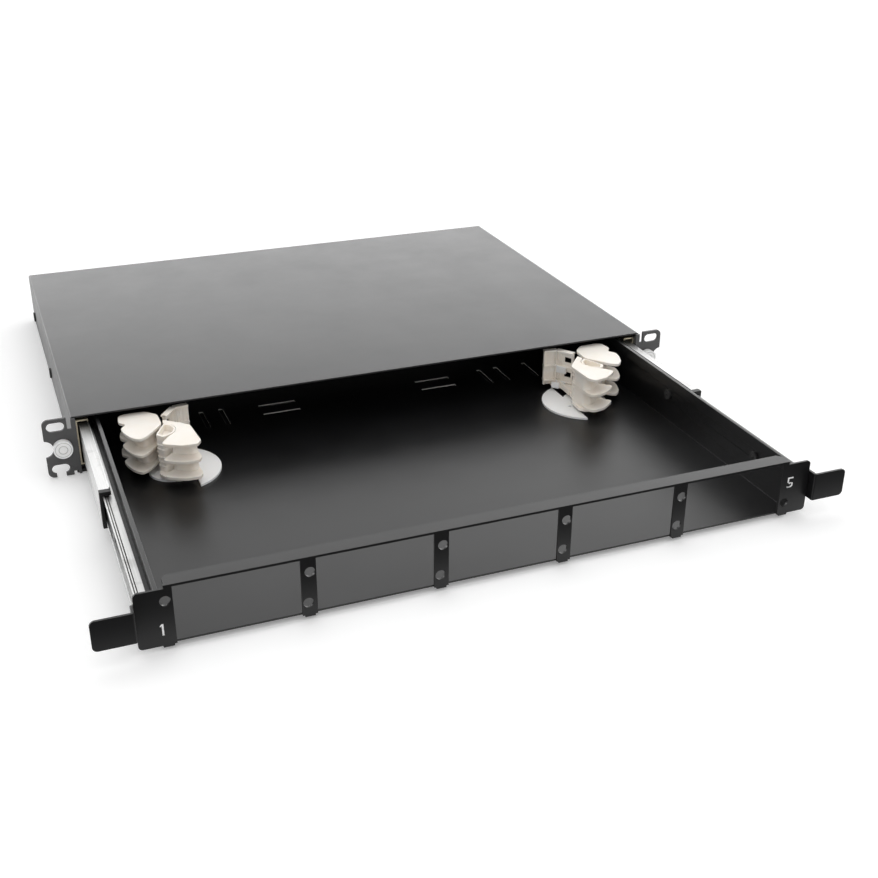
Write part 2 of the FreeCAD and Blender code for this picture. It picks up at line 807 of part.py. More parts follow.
def make_front_frame():
    """Top flange with four mullions and two ears bent down from it, feet folded under."""
    body = new_body("front_frame")
    half = drawer_half - dim("flange_inset")
    top = dim("flange_top")
    back = frame_front + dim("flange_depth")
    chamfer = dim("flange_chamfer")
    flange = [(-half, frame_front), (half, frame_front), (half, back - chamfer),
              (half - chamfer, back), (-half + chamfer, back), (-half, back - chamfer)]
    extrude(body, "top_flange", "XY", top - dim("frame_metal"), top, polygon(flange))
    foot_low = floor_bottom - dim("metal")
    for index, x in enumerate(mullion_places()):
        wide = dim("mullion_width") / 2
        narrow = dim("tab_width") / 2
        outline = [(x - wide, top), (x - wide, floor_bottom), (x - narrow, floor_bottom),
                   (x - narrow, foot_low), (x + narrow, foot_low), (x + narrow, floor_bottom),
                   (x + wide, floor_bottom), (x + wide, top)]
        extrude(body, "mullion_%d" % index, "XZ", frame_front, frame_back, polygon(outline))
    for side, hand in ((-1, "left"), (1, "right")):
        inner, step = ear_inner, drawer_half - dim("ear_step_inset")
        edge = drawer_half + dim("ear_reach")
        tab_low = tab_middle() - dim("tab_width") / 2
        tab_high = tab_middle() + dim("tab_width") / 2
        outline = [(inner, top), (step, top), (step, dim("ear_top")),
                   (edge, dim("ear_top")), (edge, dim("ear_bottom")), (tab_high, dim("ear_bottom")),
                   (tab_high, foot_low), (tab_low, foot_low), (tab_low, dim("ear_bottom")),
                   (inner, dim("ear_bottom"))]
        outline = [(x * side, z) for x, z in outline]
        extrude(body, "ear_" + hand, "XZ", frame_front, frame_back, polygon(outline))
    tab_middles = mullion_places() + [-tab_middle(), tab_middle()]
    narrow = dim("tab_width") / 2

    def tabs(sketch):
        for x in tab_middles:
            draw_polygon(sketch, box(x - narrow, x + narrow, frame_front,
                                     frame_back + dim("tab_depth")))

    extrude(body, "feet", "XY", foot_low, floor_bottom, tabs)
    extrude(body, "clip_holes", "XZ", frame_front - 1, frame_back + 1,
            circles(clip_hole_places(), dim("clip_hole_radius")), cut=True)
    edge = drawer_half + dim("ear_reach")
    ends = [(edge * side, z) for side in (-1, 1) for z in (dim("ear_top"), dim("ear_bottom"))]
    round_edges(body, "ear_corners", "XZ", ends, dim("ear_corner"))


def clip_hole_places():
    """Each opening takes its clips in the upper left and the lower right corner."""
    shift = dim("clip_hole_shift")
    upper = [(x + shift, dim("clip_hole_top")) for x in mullion_places()]
    lower = [(x - shift, dim("clip_hole_bottom")) for x in mullion_places()]
    end = drawer_half - dim("end_hole_inset")
    ends = [(-end, dim("clip_hole_top")), (end, dim("clip_hole_bottom"))]
    return upper + lower + ends


def make_handle(side, hand):
    """Flat pull: a root behind the ear, a step forward, and a plate that stands out."""
    body = new_body("handle_" + hand)
    sheet = dim("frame_metal")
    inner, jog = drawer_half + dim("handle_gap"), drawer_half + dim("handle_jog")
    outer = drawer_half + dim("handle_reach")
    front = frame_front - dim("handle_forward")
    outline = [(inner, frame_back), (jog, frame_back), (jog, front),
               (outer, front), (outer, front + sheet),
               (jog + sheet, front + sheet), (jog + sheet, frame_back + sheet),
               (inner, frame_back + sheet)]
    outline = [(x * side, y) for x, y in outline]
    low = mid - dim("handle_height") / 2
    high = mid + dim("handle_height") / 2
    extrude(body, "handle_strip", "XY", low, high, polygon(outline))
    round_edges(body, "handle_ends", "XZ",
                [(outer * side, low), (outer * side, high)],
                dim("handle_corner"))
    round_edges(body, "handle_bends", "XY",
                [(jog * side, front), ((jog + sheet) * side, frame_back + sheet)],
                dim("handle_bend"))


def make_spacer(side, hand):
    """Strip that holds the drawer wall and the slide apart."""
    body = new_body("slide_spacer_" + hand)
    start = inner_front + 6
    high = inner_inside
    low, top = ordered(drawer_half * side, slide_inner_face * side)
    extrude(body, "strip", "YZ", low, top,
            polygon(box(start, start + dim("slide_length") - 12, mid - high, mid + high)))
    screw_height = mid + dim("wall_screw_rise")
    extrude(body, "spacer_holes", "YZ", low - 1, top + 1,
            circles([(y, screw_height) for y in wall_screw_places()], dim("wall_screw_radius")),
            cut=True)


def make_wall_screws():
    """Screws from inside the drawer through wall and spacer into the slide."""
    members = []
    screw_height = mid + dim("wall_screw_rise")
    wall_inner = drawer_half - dim("metal")
    reach = slide_inner_face + dim("member_metal") - wall_inner
    for side, hand in ((-1, "left"), (1, "right")):
        for index, y in enumerate(wall_screw_places()):
            members += headed_pin("wall_screw_%s_%d" % (hand, index), dim("wall_screw_radius"),
                                  dim("wall_screw_head"), dim("wall_screw_cap"), reach,
                                  (wall_inner * side, y, screw_height), (side, 0, 0))
    fuse("wall_screws", members)


def make_lever(side, hand):
    """Release lever: an eye on a pin and a springy tongue inside the inner member."""
    face = slide_inner_face + dim("member_metal") + dim("fit_gap")
    far = face + dim("lever_thick") - dim("fit_gap")
    low, high = ordered(face * side, far * side)
    body = new_body("release_lever_" + hand)
    pin_y = lever_pin_y()
    tip = pin_y + dim("lever_length")
    half = dim("lever_half")
    outline = [(pin_y, mid - half), (tip - half, mid - half * 0.5), (tip, mid - half * 0.5),
               (tip, mid + half), (tip - half * 2, mid + half), (tip - half * 3, mid + half * 0.5),
               (pin_y, mid + half)]
    extrude(body, "tongue", "YZ", low, high, polygon(outline))
    extrude(body, "eye", "YZ", low, high, circles([(pin_y, mid)], dim("lever_eye")))
    extrude(body, "eye_hole", "YZ", low - 1, high + 1,
            circles([(pin_y, mid)], dim("lever_pin_radius") + dim("pin_gap")), cut=True)
    web = slide_inner_face * side
    cylinder_pin = cylinder("lever_pin_" + hand, dim("lever_pin_radius"),
                            dim("member_metal") + dim("lever_thick") + dim("fit_gap"),
                            (web, pin_y, mid), (side, 0, 0))
    sub_parts.append(cylinder_pin)


# Fibre guides. Local places are for the right guide, measured from its disc's centre.

RUNNER_LEAF = [(9, -22), (4, -28), (-5, -32), (-12, -31), (-16, -27), (-15.5, 0),
               (-8, 5), (-2, 3), (0, -5), (5, -13)]
RUNNER_CORNERS = [(9, -22), (-16, -27)]
RUNNER_CORE = [(4, -19), (0, -24), (-8, -26), (-12.5, -21), (-13, -2), (-8, 3), (-4, 0)]
RUNNER_COLUMN = (-12.0, 6.0)
REAR_LEAF = [(-17, 35.5), (-2, 28.5), (-3, 16.5), (-4, 8), (-8, 1), (-14.5, 1)]
REAR_WINDOW = [(-13.3, 28), (-4.8, 21.5), (-6.5, 14), (-13, 11.5)]
LADDER_ENDS = ((-16.0, 33.5), (-3.5, 27.7))
RETURN_ENDS = ((-15.7, 33.0), (-14.2, 6.0))
ARM_LEAF = [(3, 8), (8, 1), (14, -7), (19, -11), (24, -10.5), (28, -6), (30.5, 3), (31, 10),
            (29, 16), (31, 22), (29.5, 31), (25, 34), (11, 33), (4, 26.5)]
ARM_CORNERS = [(14, -7), (31, 10), (31, 22), (11, 33), (4, 26.5)]
ARM_CORE = [(9.5, 7), (14, 0), (19, -3), (24, 1), (24.5, 11), (24.5, 24), (20, 28), (12, 27),
            (9.5, 21)]


def guide_levels():
    return [dim("leaf_bottom") + dim("leaf_pitch") * index for index in range(3)]


def placed(corners, side):
    """Local places of a guide turned into places on the drawer."""
    centre_x = (drawer_half - dim("guide_inset")) * side
    centre_y = frame_front + dim("guide_back")
    return [(centre_x + as_size(x) * side, centre_y + as_size(y)) for x, y in corners]


def hinge_place():
    return (dim("hinge_x"), dim("hinge_y"))


def shrunk(corners, share):
    """The same outline drawn in towards its middle, for the inside of a thin wall."""
    middle_x = sum(x for x, y in corners) / len(corners)
    middle_y = sum(y for x, y in corners) / len(corners)
    return [(share * (x - middle_x) + middle_x, share * (y - middle_y) + middle_y)
            for x, y in corners]


def wall_ring(outer, side):
    inner = shrunk(outer, dim("guide_wall"))

    def draw(sketch):
        draw_polygon(sketch, placed(outer, side))
        draw_polygon(sketch, placed(inner, side))
    return draw


def strip_between(start, finish, width):
    """Four corners of a straight strip between two local places."""
    run_x, run_y = finish[0] - start[0], finish[1] - start[1]
    length = math.hypot(run_x, run_y)
    off_x, off_y = -run_y / length, run_x / length
    half = as_size(width) / 2
    return [(start[0] + half * off_x, start[1] + half * off_y),
            (finish[0] + half * off_x, finish[1] + half * off_y),
            (finish[0] - half * off_x, finish[1] - half * off_y),
            (start[0] - half * off_x, start[1] - half * off_y)]


def between(start, finish, share):
    return (start[0] + (finish[0] - start[0]) * share, start[1] + (finish[1] - start[1]) * share)


def make_guide_base(side, hand):
    """White D-shaped plate on the drawer floor with the post that the guide turns on."""
    x, y = placed([(0, 0)], side)[0]
    floor = dim("floor_top")
    thick = dim("disc_thick")
    ring_top = floor + thick + dim("ring_thick")
    radius = dim("disc_radius")
    disc = cylinder("guide_disc_" + hand, radius, thick, (x, y, floor), (0, 0, 1))
    away = doc.addObject("Part::Box", "guide_disc_away_" + hand)
    away.setExpression("Length", (radius * 2).text)
    away.setExpression("Width", (radius * 2 + 2).text)
    away.setExpression("Height", (thick + 2).text)
    chord = x - dim("disc_chord") * side
    corner = chord if side > 0 else chord - radius * 2
    for axis, size in zip("xyz", (corner, y - radius - 1, floor - 1)):
        away.setExpression("Placement.Base.%s" % axis, size.text)
    plate = cut("guide_plate_" + hand, disc, away, sub_part=False)
    boss = cylinder("guide_boss_" + hand, dim("disc_boss"), thick, (x, y, floor), (0, 0, 1))
    post = cylinder("guide_post_" + hand, dim("post_radius"), ring_top - floor + dim("fit_gap"),
                    (x, y, floor), (0, 0, 1))
    whole = fuse("guide_base_solid_" + hand, [plate, boss, post], sub_part=False)
    hole_x, hole_y = placed([(-dim("disc_hole_x"), -dim("disc_hole_y"))], side)[0]
    hole = cylinder("guide_disc_hole_" + hand, dim("disc_hole_radius"), thick + 2,
                    (hole_x, hole_y, floor - 1), (0, 0, 1))
    cut("guide_base_" + hand, whole, hole)


def make_guide_hub(side, hand):
    """Turning part of a guide: foot ring, column, three leaves and a ladder of windows."""
    body = new_body("guide_hub_" + hand)
    low = dim("floor_top") + dim("disc_thick")
    ring_top = low + dim("ring_thick")
    levels = guide_levels()
    leaf = dim("leaf_thick")
    top = levels[-1] + leaf

    def ring(sketch):
        x, y = placed([(0, 0)], side)[0]
        draw_circle(sketch, x, y, dim("ring_radius"))
        draw_circle(sketch, x, y, dim("post_radius") + dim("pin_gap"))

    extrude(body, "foot_ring", "XY", low, ring_top, ring)
    extrude(body, "column", "XY", low, top,
            circles(placed([RUNNER_COLUMN], side), dim("column_radius")))
    extrude(body, "core_wall", "XY", levels[0], top, wall_ring(RUNNER_CORE, side))
    for index, level in enumerate(levels):
        extrude(body, "leaf_%d" % index, "XY", level, level + leaf,
                polygon(placed(RUNNER_LEAF, side)))
    round_edges(body, "leaf_corners", "XY", placed(RUNNER_CORNERS, side), dim("leaf_corner"))
    for index, level in enumerate(levels):

        def rear(sketch):
            draw_polygon(sketch, placed(REAR_LEAF, side))
            draw_polygon(sketch, placed(REAR_WINDOW, side))

        extrude(body, "rear_leaf_%d" % index, "XY", level, level + leaf, rear)
    start, finish = LADDER_ENDS
    wall = strip_between(start, finish, dim("ladder_thick"))
    post = dim("ladder_post") / 2
    foot = low + dim("ladder_foot")
    stands = [between(start, finish, share) for share in (0.08, 0.5, 0.92)]

    def posts(sketch):
        for x, y in stands:
            draw_polygon(sketch, placed(box(x - post, x + post, y - post, y + post), side))

    extrude(body, "ladder_posts", "XY", foot, top, posts)
    shelf = dim("shelf_thick")
    shelf_lows = [foot] + [level + leaf - shelf for level in levels[1:]]
    for index, shelf_low in enumerate(shelf_lows):
        extrude(body, "ladder_shelf_%d" % index, "XY", shelf_low, shelf_low + shelf,
                polygon(placed(wall, side)))
    extrude(body, "return_wall", "XY", foot, top,
            polygon(placed(strip_between(*RETURN_ENDS, dim("return_thick")), side)))
    clip_x, clip_y = between(start, finish, 0.72)
    half = dim("clip_width") / 2
    front = dim("ladder_thick") / 2 + dim("clip_depth")
    clip = box(clip_x - half, clip_x + half, clip_y - front, clip_y)
    for index, level in enumerate(levels[:2]):
        high = level + leaf
        extrude(body, "clip_%d" % index, "XY", high - dim("clip_height"), high,
                polygon(placed(clip, side)))
    hinge = (dim("hinge_x").value, dim("hinge_y").value)
    lug = strip_between(RUNNER_COLUMN, between(RUNNER_COLUMN, hinge, 0.9), dim("lug_width"))
    inset = dim("lug_inset")
    extrude(body, "hinge_lug", "XY", dim("knuckle_mid") + inset, dim("knuckle_high") - inset,
            polygon(placed(lug, side)))
    extrude(body, "knuckle", "XY", dim("knuckle_mid"), dim("knuckle_high"),
            circles(placed([hinge_place()], side), dim("knuckle_radius")))
    extrude(body, "pin_hole", "XY", dim("knuckle_mid") - 1, dim("knuckle_high") + 1,
            circles(placed([hinge_place()], side), dim("guide_pin_radius")), cut=True)


def make_guide_arm(side, hand):
    """Swinging leaves of a guide, carried on the hub's hinge."""
    body = new_body("guide_arm_" + hand)
    levels = guide_levels()
    leaf = dim("leaf_thick")
    top = levels[-1] + leaf
    extrude(body, "core_wall", "XY", levels[0], top, wall_ring(ARM_CORE, side))
    for index, level in enumerate(levels):
        extrude(body, "leaf_%d" % index, "XY", level, level + leaf,
                polygon(placed(ARM_LEAF, side)))
    round_edges(body, "leaf_corners", "XY", placed(ARM_CORNERS, side), dim("leaf_corner"))
    swing = circles(placed([hinge_place()], side), dim("knuckle_radius") + dim("fit_gap") * 2)
    gap = dim("fit_gap")
    extrude(body, "knuckle_space", "XY", dim("knuckle_mid") - gap, dim("knuckle_high"), swing,
            cut=True)
    lug = strip_between((dim("hinge_x").value, dim("hinge_y").value), (12, 13), dim("lug_width"))
    spans = ((dim("knuckle_low"), dim("knuckle_mid") - gap), (dim("knuckle_high"), top))
    for index, (low, high) in enumerate(spans):
        extrude(body, "lug_%d" % index, "XY", low, high, polygon(placed(lug, side)))
        extrude(body, "knuckle_%d" % index, "XY", low, high,
                circles(placed([hinge_place()], side), dim("knuckle_radius")))
    extrude(body, "pin_hole", "XY", dim("knuckle_low") - 1, top + 1,
            circles(placed([hinge_place()], side), dim("guide_pin_radius") + dim("pin_gap")),
            cut=True)


def make_guide_pin(side, hand):
    """Hinge pin of a guide, held in the hub's knuckle."""
    x, y = placed([hinge_place()], side)[0]
    low = dim("knuckle_low")
    top = guide_levels()[-1] + dim("leaf_thick") + dim("fit_gap")
    pin = cylinder("guide_pin_shank_" + hand, dim("guide_pin_radius"), top - low,
                   (x, y, low), (0, 0, 1))
    head = cylinder("guide_pin_head_" + hand, dim("guide_pin_head"), dim("guide_pin_cap"),
                    (x, y, top), (0, 0, 1))
    fuse("guide_pin_" + hand, [pin, head])


def build_all():
    make_top_cover()
    make_base_plate()
    make_cable_grommets()
    make_side_screws()
    make_outer_rivets()
    make_drawer_tray()
    make_front_frame()
    make_wall_screws()
    for side, hand in ((-1, "left"), (1, "right")):
        make_bracket(side, hand)
        make_plug(side, hand)
        make_slide_outer(side, hand)
        make_slide_middle(side, hand)
        make_slide_inner(side, hand)
        make_cage(side, hand, "outer")
        make_cage(side, hand, "inner")
        make_bumper(side, hand)
        make_handle(side, hand)
        make_spacer(side, hand)
        make_lever(side, hand)
        make_guide_base(side, hand)
        make_guide_hub(side, hand)
        make_guide_arm(side, hand)
        make_guide_pin(side, hand)


def check_document():
    for item in doc.Objects:
        if "Invalid" in item.State or "Error" in item.State:
            raise RuntimeError("%s failed: %s" % (item.Label, item.State))
    for item in sub_parts:
        if item.Shape.isNull() or not item.Shape.isValid() or not item.Shape.Solids:
            raise RuntimeError("%s has no valid solid" % item.Label)


def write_parts():
    os.makedirs("parts", exist_ok=True)
    for item in sub_parts:
        item.Shape.exportStep("parts/%s.step" % item.Label)


build_all()
doc.recompute()
check_document()
write_parts()
for item in sub_parts:
    print(item.Label, len(item.Shape.Solids), round(item.Shape.Volume, 1))
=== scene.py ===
import json
import math

import bmesh
import bpy
from mathutils import Matrix, Quaternion, Vector


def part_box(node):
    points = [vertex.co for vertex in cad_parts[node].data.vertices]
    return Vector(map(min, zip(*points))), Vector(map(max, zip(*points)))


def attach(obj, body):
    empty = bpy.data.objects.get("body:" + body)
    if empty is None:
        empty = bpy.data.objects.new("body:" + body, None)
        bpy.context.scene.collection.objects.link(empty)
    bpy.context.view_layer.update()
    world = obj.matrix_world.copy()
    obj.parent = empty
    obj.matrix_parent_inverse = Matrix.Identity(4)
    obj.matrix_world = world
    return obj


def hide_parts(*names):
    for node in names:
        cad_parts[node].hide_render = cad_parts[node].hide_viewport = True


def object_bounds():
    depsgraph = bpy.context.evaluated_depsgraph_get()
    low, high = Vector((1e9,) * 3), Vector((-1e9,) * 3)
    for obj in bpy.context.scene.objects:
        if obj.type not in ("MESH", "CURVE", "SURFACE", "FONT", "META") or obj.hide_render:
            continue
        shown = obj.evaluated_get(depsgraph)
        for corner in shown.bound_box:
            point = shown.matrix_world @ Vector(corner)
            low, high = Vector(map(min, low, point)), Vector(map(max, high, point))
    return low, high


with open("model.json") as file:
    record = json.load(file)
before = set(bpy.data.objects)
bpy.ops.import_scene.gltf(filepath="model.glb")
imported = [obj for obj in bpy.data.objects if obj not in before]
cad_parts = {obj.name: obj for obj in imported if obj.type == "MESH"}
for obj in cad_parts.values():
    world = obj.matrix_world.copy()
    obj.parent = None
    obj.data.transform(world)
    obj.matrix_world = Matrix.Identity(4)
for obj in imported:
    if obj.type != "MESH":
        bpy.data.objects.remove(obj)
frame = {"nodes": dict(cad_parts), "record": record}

MM = 0.001
CAD_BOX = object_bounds()
NODES = frame["nodes"]
SIDES = ((-1, "left"), (1, "right"))
SQUARE = ((-1, -1), (1, -1), (1, 1), (-1, 1))
WHITE = (1.0, 1.0, 1.0, 1.0)
BLACK = (0.0, 0.0, 0.0)

# Camera

PHOTO_SIZE = 878
FOCAL_PIXELS = 1222.87
SENSOR_WIDTH = 36.0
CAMERA_PLACE = Vector((-0.26633, -0.79611, 0.39875))
CAMERA_LOOK = Vector((0.33113, 0.83432, -0.44076))
CAMERA_ROLL = math.radians(0.214)
CAMERA_NEAR = 0.01
CAMERA_FAR = 50.0


def make_camera():
    data = bpy.data.cameras.new("camera")
    data.sensor_width = SENSOR_WIDTH
    data.lens = FOCAL_PIXELS / PHOTO_SIZE * SENSOR_WIDTH
    data.clip_start = CAMERA_NEAR
    data.clip_end = CAMERA_FAR
    camera = bpy.data.objects.new("camera", data)
    bpy.context.scene.collection.objects.link(camera)
    camera.location = CAMERA_PLACE
    camera.rotation_mode = "QUATERNION"
    roll = Quaternion((0, 0, 1), CAMERA_ROLL)
    camera.rotation_quaternion = CAMERA_LOOK.to_track_quat("-Z", "Y") @ roll
    bpy.context.scene.camera = camera


# Material building blocks

WEAR_SAMPLES = 6
WEAR_RADIUS = 0.0006
WEAR_RANGE = (0.99, 0.90)
BUMP_DEPTH = 0.0001
GLOW_DEPTH = 0.0012
GLOW_TINT = (1.0, 0.8, 0.6)
OIL_TINT = (0.22, 0.21, 0.20)


def new_material(name):
    material = bpy.data.materials.new(name)
    material.use_nodes = True
    tree = material.node_tree
    return material, tree, tree.nodes["Principled BSDF"]


def object_places(tree, stretch=(1.0, 1.0, 1.0)):
    """Object coordinates, stretched so that a texture can run in one direction."""
    places = tree.nodes.new("ShaderNodeTexCoord")
    mapping = tree.nodes.new("ShaderNodeMapping")
    mapping.inputs["Scale"].default_value = stretch
    tree.links.new(places.outputs["Object"], mapping.inputs["Vector"])
    return mapping.outputs["Vector"]


def noise(tree, places, scale, detail=4.0, rough=0.55):
    node = tree.nodes.new("ShaderNodeTexNoise")
    node.inputs["Scale"].default_value = scale
    node.inputs["Detail"].default_value = detail
    node.inputs["Roughness"].default_value = rough
    tree.links.new(places, node.inputs["Vector"])
    return node.outputs["Fac"]


def spread(tree, value, given, wanted=(0.0, 1.0)):
    """Moves a value from the given range to the wanted one, and stops at its ends."""
    node = tree.nodes.new("ShaderNodeMapRange")
    for name, number in zip(("From Min", "From Max", "To Min", "To Max"), (*given, *wanted)):
        node.inputs[name].default_value = number
    tree.links.new(value, node.inputs["Value"])
    return node.outputs["Result"]


def combined(tree, operation, first, second):
    """Product or maximum of two values; the second may be a plain number."""
    node = tree.nodes.new("ShaderNodeMath")
    node.operation = operation
    tree.links.new(first, node.inputs[0])
    if isinstance(second, float):
        node.inputs[1].default_value = second
    else:
        tree.links.new(second, node.inputs[1])
    return node.outputs["Value"]


def blend_colours(tree, share, first, second):
    """Mixes a plain or a linked colour towards a plain one."""
    node = tree.nodes.new("ShaderNodeMix")
    node.data_type = "RGBA"
    if isinstance(first, tuple):
        node.inputs[6].default_value = (*first, 1.0)
    else:
        tree.links.new(first, node.inputs[6])
    node.inputs[7].default_value = (*second, 1.0)
    tree.links.new(share, node.inputs[0])
    return node.outputs[2]


def bump(tree, shader, height, strength, depth=BUMP_DEPTH):
    node = tree.nodes.new("ShaderNodeBump")
    node.inputs["Strength"].default_value = strength
    node.inputs["Distance"].default_value = depth
    tree.links.new(height, node.inputs["Height"])
    tree.links.new(node.outputs["Normal"], shader.inputs["Normal"])


def edge_share(tree):
    """Is 1 along worn edges and 0 on flat faces."""
    round_normal = tree.nodes.new("ShaderNodeBevel")
    round_normal.samples = WEAR_SAMPLES
    round_normal.inputs["Radius"].default_value = WEAR_RADIUS
    geometry = tree.nodes.new("ShaderNodeNewGeometry")
    dot = tree.nodes.new("ShaderNodeVectorMath")
    dot.operation = "DOT_PRODUCT"
    tree.links.new(round_normal.outputs["Normal"], dot.inputs[0])
    tree.links.new(geometry.outputs["Normal"], dot.inputs[1])
    return spread(tree, dot.outputs["Value"], WEAR_RANGE)


# Materials

def paint(name, dark, light, rough, edge_colour, edge_level, ior=1.41):
    """Powder coat: fine orange peel, slow tone changes, rubbed edges."""
    material, tree, shader = new_material(name)
    places = object_places(tree)
    slow = noise(tree, places, scale=9.0, detail=3.0)
    tone = blend_colours(tree, spread(tree, slow, (0.35, 0.65)), dark, light)
    broken = noise(tree, places, scale=160.0, detail=5.0)
    wear = combined(tree, "MULTIPLY", edge_share(tree),
                    spread(tree, broken, (0.4, 0.7), (0.0, edge_level)))
    tree.links.new(blend_colours(tree, wear, tone, edge_colour), shader.inputs["Base Color"])
    shader.inputs["IOR"].default_value = ior
    patches = noise(tree, places, scale=34.0, detail=6.0, rough=0.6)
    tree.links.new(spread(tree, patches, (0.3, 0.7), (rough - 0.02, rough + 0.03)),
                   shader.inputs["Roughness"])
    grain = noise(tree, places, scale=900.0, detail=2.0, rough=0.5)
    bump(tree, shader, grain, strength=0.08)
    return material


def zinc(name, dark, light):
    """Rolled and zinc plated steel: streaks along the rolling direction, oily patches."""
    material, tree, shader = new_material(name)
    along = object_places(tree, stretch=(60.0, 1.2, 60.0))
    streaks = noise(tree, along, scale=9.0, detail=6.0, rough=0.65)
    cloudy = noise(tree, object_places(tree), scale=45.0, detail=5.0, rough=0.6)
    tone = blend_colours(tree, spread(tree, streaks, (0.3, 0.7)), dark, light)
    oil = spread(tree, cloudy, (0.56, 0.72), (0.0, 0.45))
    tree.links.new(blend_colours(tree, oil, tone, OIL_TINT), shader.inputs["Base Color"])
    shader.inputs["Metallic"].default_value = 1.0
    tree.links.new(spread(tree, streaks, (0.25, 0.75), (0.36, 0.52)), shader.inputs["Roughness"])
    bump(tree, shader, streaks, strength=0.12)
    return material


def plastic(name, dark, light, rough, glow=0.0, ior=1.5):
    """Moulded plastic: faint flow marks, a soft skin and slightly dull patches."""
    material, tree, shader = new_material(name)
    places = object_places(tree)
    flow = noise(tree, object_places(tree, stretch=(1.0, 1.0, 2.6)), scale=38.0)
    tree.links.new(blend_colours(tree, spread(tree, flow, (0.3, 0.7)), dark, light),
                   shader.inputs["Base Color"])
    shader.inputs["IOR"].default_value = ior
    patches = noise(tree, places, scale=120.0, detail=5.0)
    tree.links.new(spread(tree, patches, (0.3, 0.7), (rough - 0.05, rough + 0.07)),
                   shader.inputs["Roughness"])
    if glow:
        shader.inputs["Subsurface Weight"].default_value = glow
        shader.inputs["Subsurface Scale"].default_value = GLOW_DEPTH
        shader.inputs["Subsurface Radius"].default_value = GLOW_TINT
    bump(tree, shader, noise(tree, places, scale=1400.0, detail=2.0), strength=0.08)
    return material


def rubber(name, dark, light):
    """Dusty rubber."""
    material, tree, shader = new_material(name)
    places = object_places(tree)
    dusty = noise(tree, places, scale=60.0, detail=6.0, rough=0.6)
    tree.links.new(blend_colours(tree, spread(tree, dusty, (0.4, 0.75)), dark, light),
                   shader.inputs["Base Color"])
    tree.links.new(spread(tree, dusty, (0.3, 0.7), (0.62, 0.82)), shader.inputs["Roughness"])
    bump(tree, shader, noise(tree, places, scale=700.0, detail=3.0), strength=0.2,
         depth=2 * BUMP_DEPTH)
    return material


def ink(name, colour):
    """A thin, slightly uneven layer of one colour."""
    material, tree, shader = new_material(name)
    thin = noise(tree, object_places(tree), scale=700.0, detail=3.0)
    light = tuple(min(1.0, part * 1.04) for part in colour)
    dark = tuple(part * 0.88 for part in colour)
    tree.links.new(blend_colours(tree, spread(tree, thin, (0.3, 0.7)), dark, light),
                   shader.inputs["Base Color"])
    tree.links.new(spread(tree, thin, (0.3, 0.7), (0.42, 0.58)), shader.inputs["Roughness"])
    bump(tree, shader, thin, strength=0.1)
    return material


LOOKS = {
    "cover_grey": (paint, dict(dark=(0.031, 0.031, 0.032), light=(0.035, 0.035, 0.036),
                               rough=0.32, edge_colour=(0.20, 0.20, 0.205), edge_level=0.4,
                               ior=1.27)),
    "bracket_grey": (paint, dict(dark=(0.066, 0.066, 0.067), light=(0.080, 0.080, 0.081),
                                 rough=0.42, edge_colour=(0.26, 0.26, 0.26), edge_level=0.5)),
    "drawer_black": (paint, dict(dark=(0.005, 0.005, 0.0054), light=(0.008, 0.008, 0.0085),
                                 rough=0.30, edge_colour=(0.06, 0.06, 0.06), edge_level=0.4,
                                 ior=1.46)),
    "zinc": (zinc, dict(dark=(0.46, 0.46, 0.455), light=(0.72, 0.72, 0.715))),
    "yellow_zinc": (zinc, dict(dark=(0.44, 0.39, 0.28), light=(0.66, 0.60, 0.46))),
    "black_steel": (paint, dict(dark=(0.018, 0.018, 0.018), light=(0.034, 0.034, 0.034),
                                rough=0.42, edge_colour=(0.25, 0.25, 0.25), edge_level=0.6)),
    "black_plastic": (plastic, dict(dark=(0.008, 0.008, 0.008), light=(0.014, 0.014, 0.014),
                                    rough=0.38, ior=1.3)),
    "white_plastic": (plastic, dict(dark=(0.90, 0.90, 0.89), light=(0.94, 0.94, 0.935),
                                    rough=0.34, glow=0.08)),
    "cream_plastic": (plastic, dict(dark=(0.93, 0.85, 0.75), light=(0.95, 0.91, 0.85),
                                    rough=0.40, glow=0.12)),
    # Painted shade of the bracket plugs' circular edges.
    "painted_plug_shade": (plastic, dict(dark=(0.50, 0.50, 0.49), light=(0.60, 0.60, 0.59),
                                 rough=0.50)),
    "black_rubber": (rubber, dict(dark=(0.012, 0.012, 0.012), light=(0.045, 0.044, 0.042))),
    # Painted light: a pale band on the walls of the floor's tie slots.
    "painted_slot_light": (ink, dict(colour=(0.78, 0.76, 0.73))),
    # Painted shade of the slides' raceway groove and lip.
    "painted_groove_shade": (ink, dict(colour=(0.045, 0.043, 0.040))),
    "white_ink": (ink, dict(colour=(0.80, 0.80, 0.80))),
}
MATERIALS = {name: make(name, **values) for name, (make, values) in LOOKS.items()}


# Finishing of the CAD nodes. Edge widths in mm.

BEVELS = {"top_cover": 0.25, "base_plate": 0.25, "drawer_tray": 0.20, "front_frame": 0.18,
          "rack_bracket": 0.25, "handle": 0.25, "guide": 0.35, "bracket_plug": 0.6}
OTHER_BEVEL = 0.12
WELD_REACH = 0.000002
NODE_EDGES = {"segments": 2, "sharp": 38, "weight": 100}
PIECE_EDGES = {"segments": 3, "sharp": 40, "weight": 80}


def smooth(mesh):
    for face in mesh.polygons:
        face.use_smooth = True


def soften(thing, width, segments, sharp, weight):
    """Rounds the edges sharper than an angle and keeps the flat faces flat in the shading."""
    bevel = thing.modifiers.new("bevel", "BEVEL")
    bevel.width = width * MM
    bevel.segments = segments
    bevel.limit_method = "ANGLE"
    bevel.angle_limit = math.radians(sharp)
    flat = thing.modifiers.new("flat_faces", "WEIGHTED_NORMAL")
    flat.weight = weight


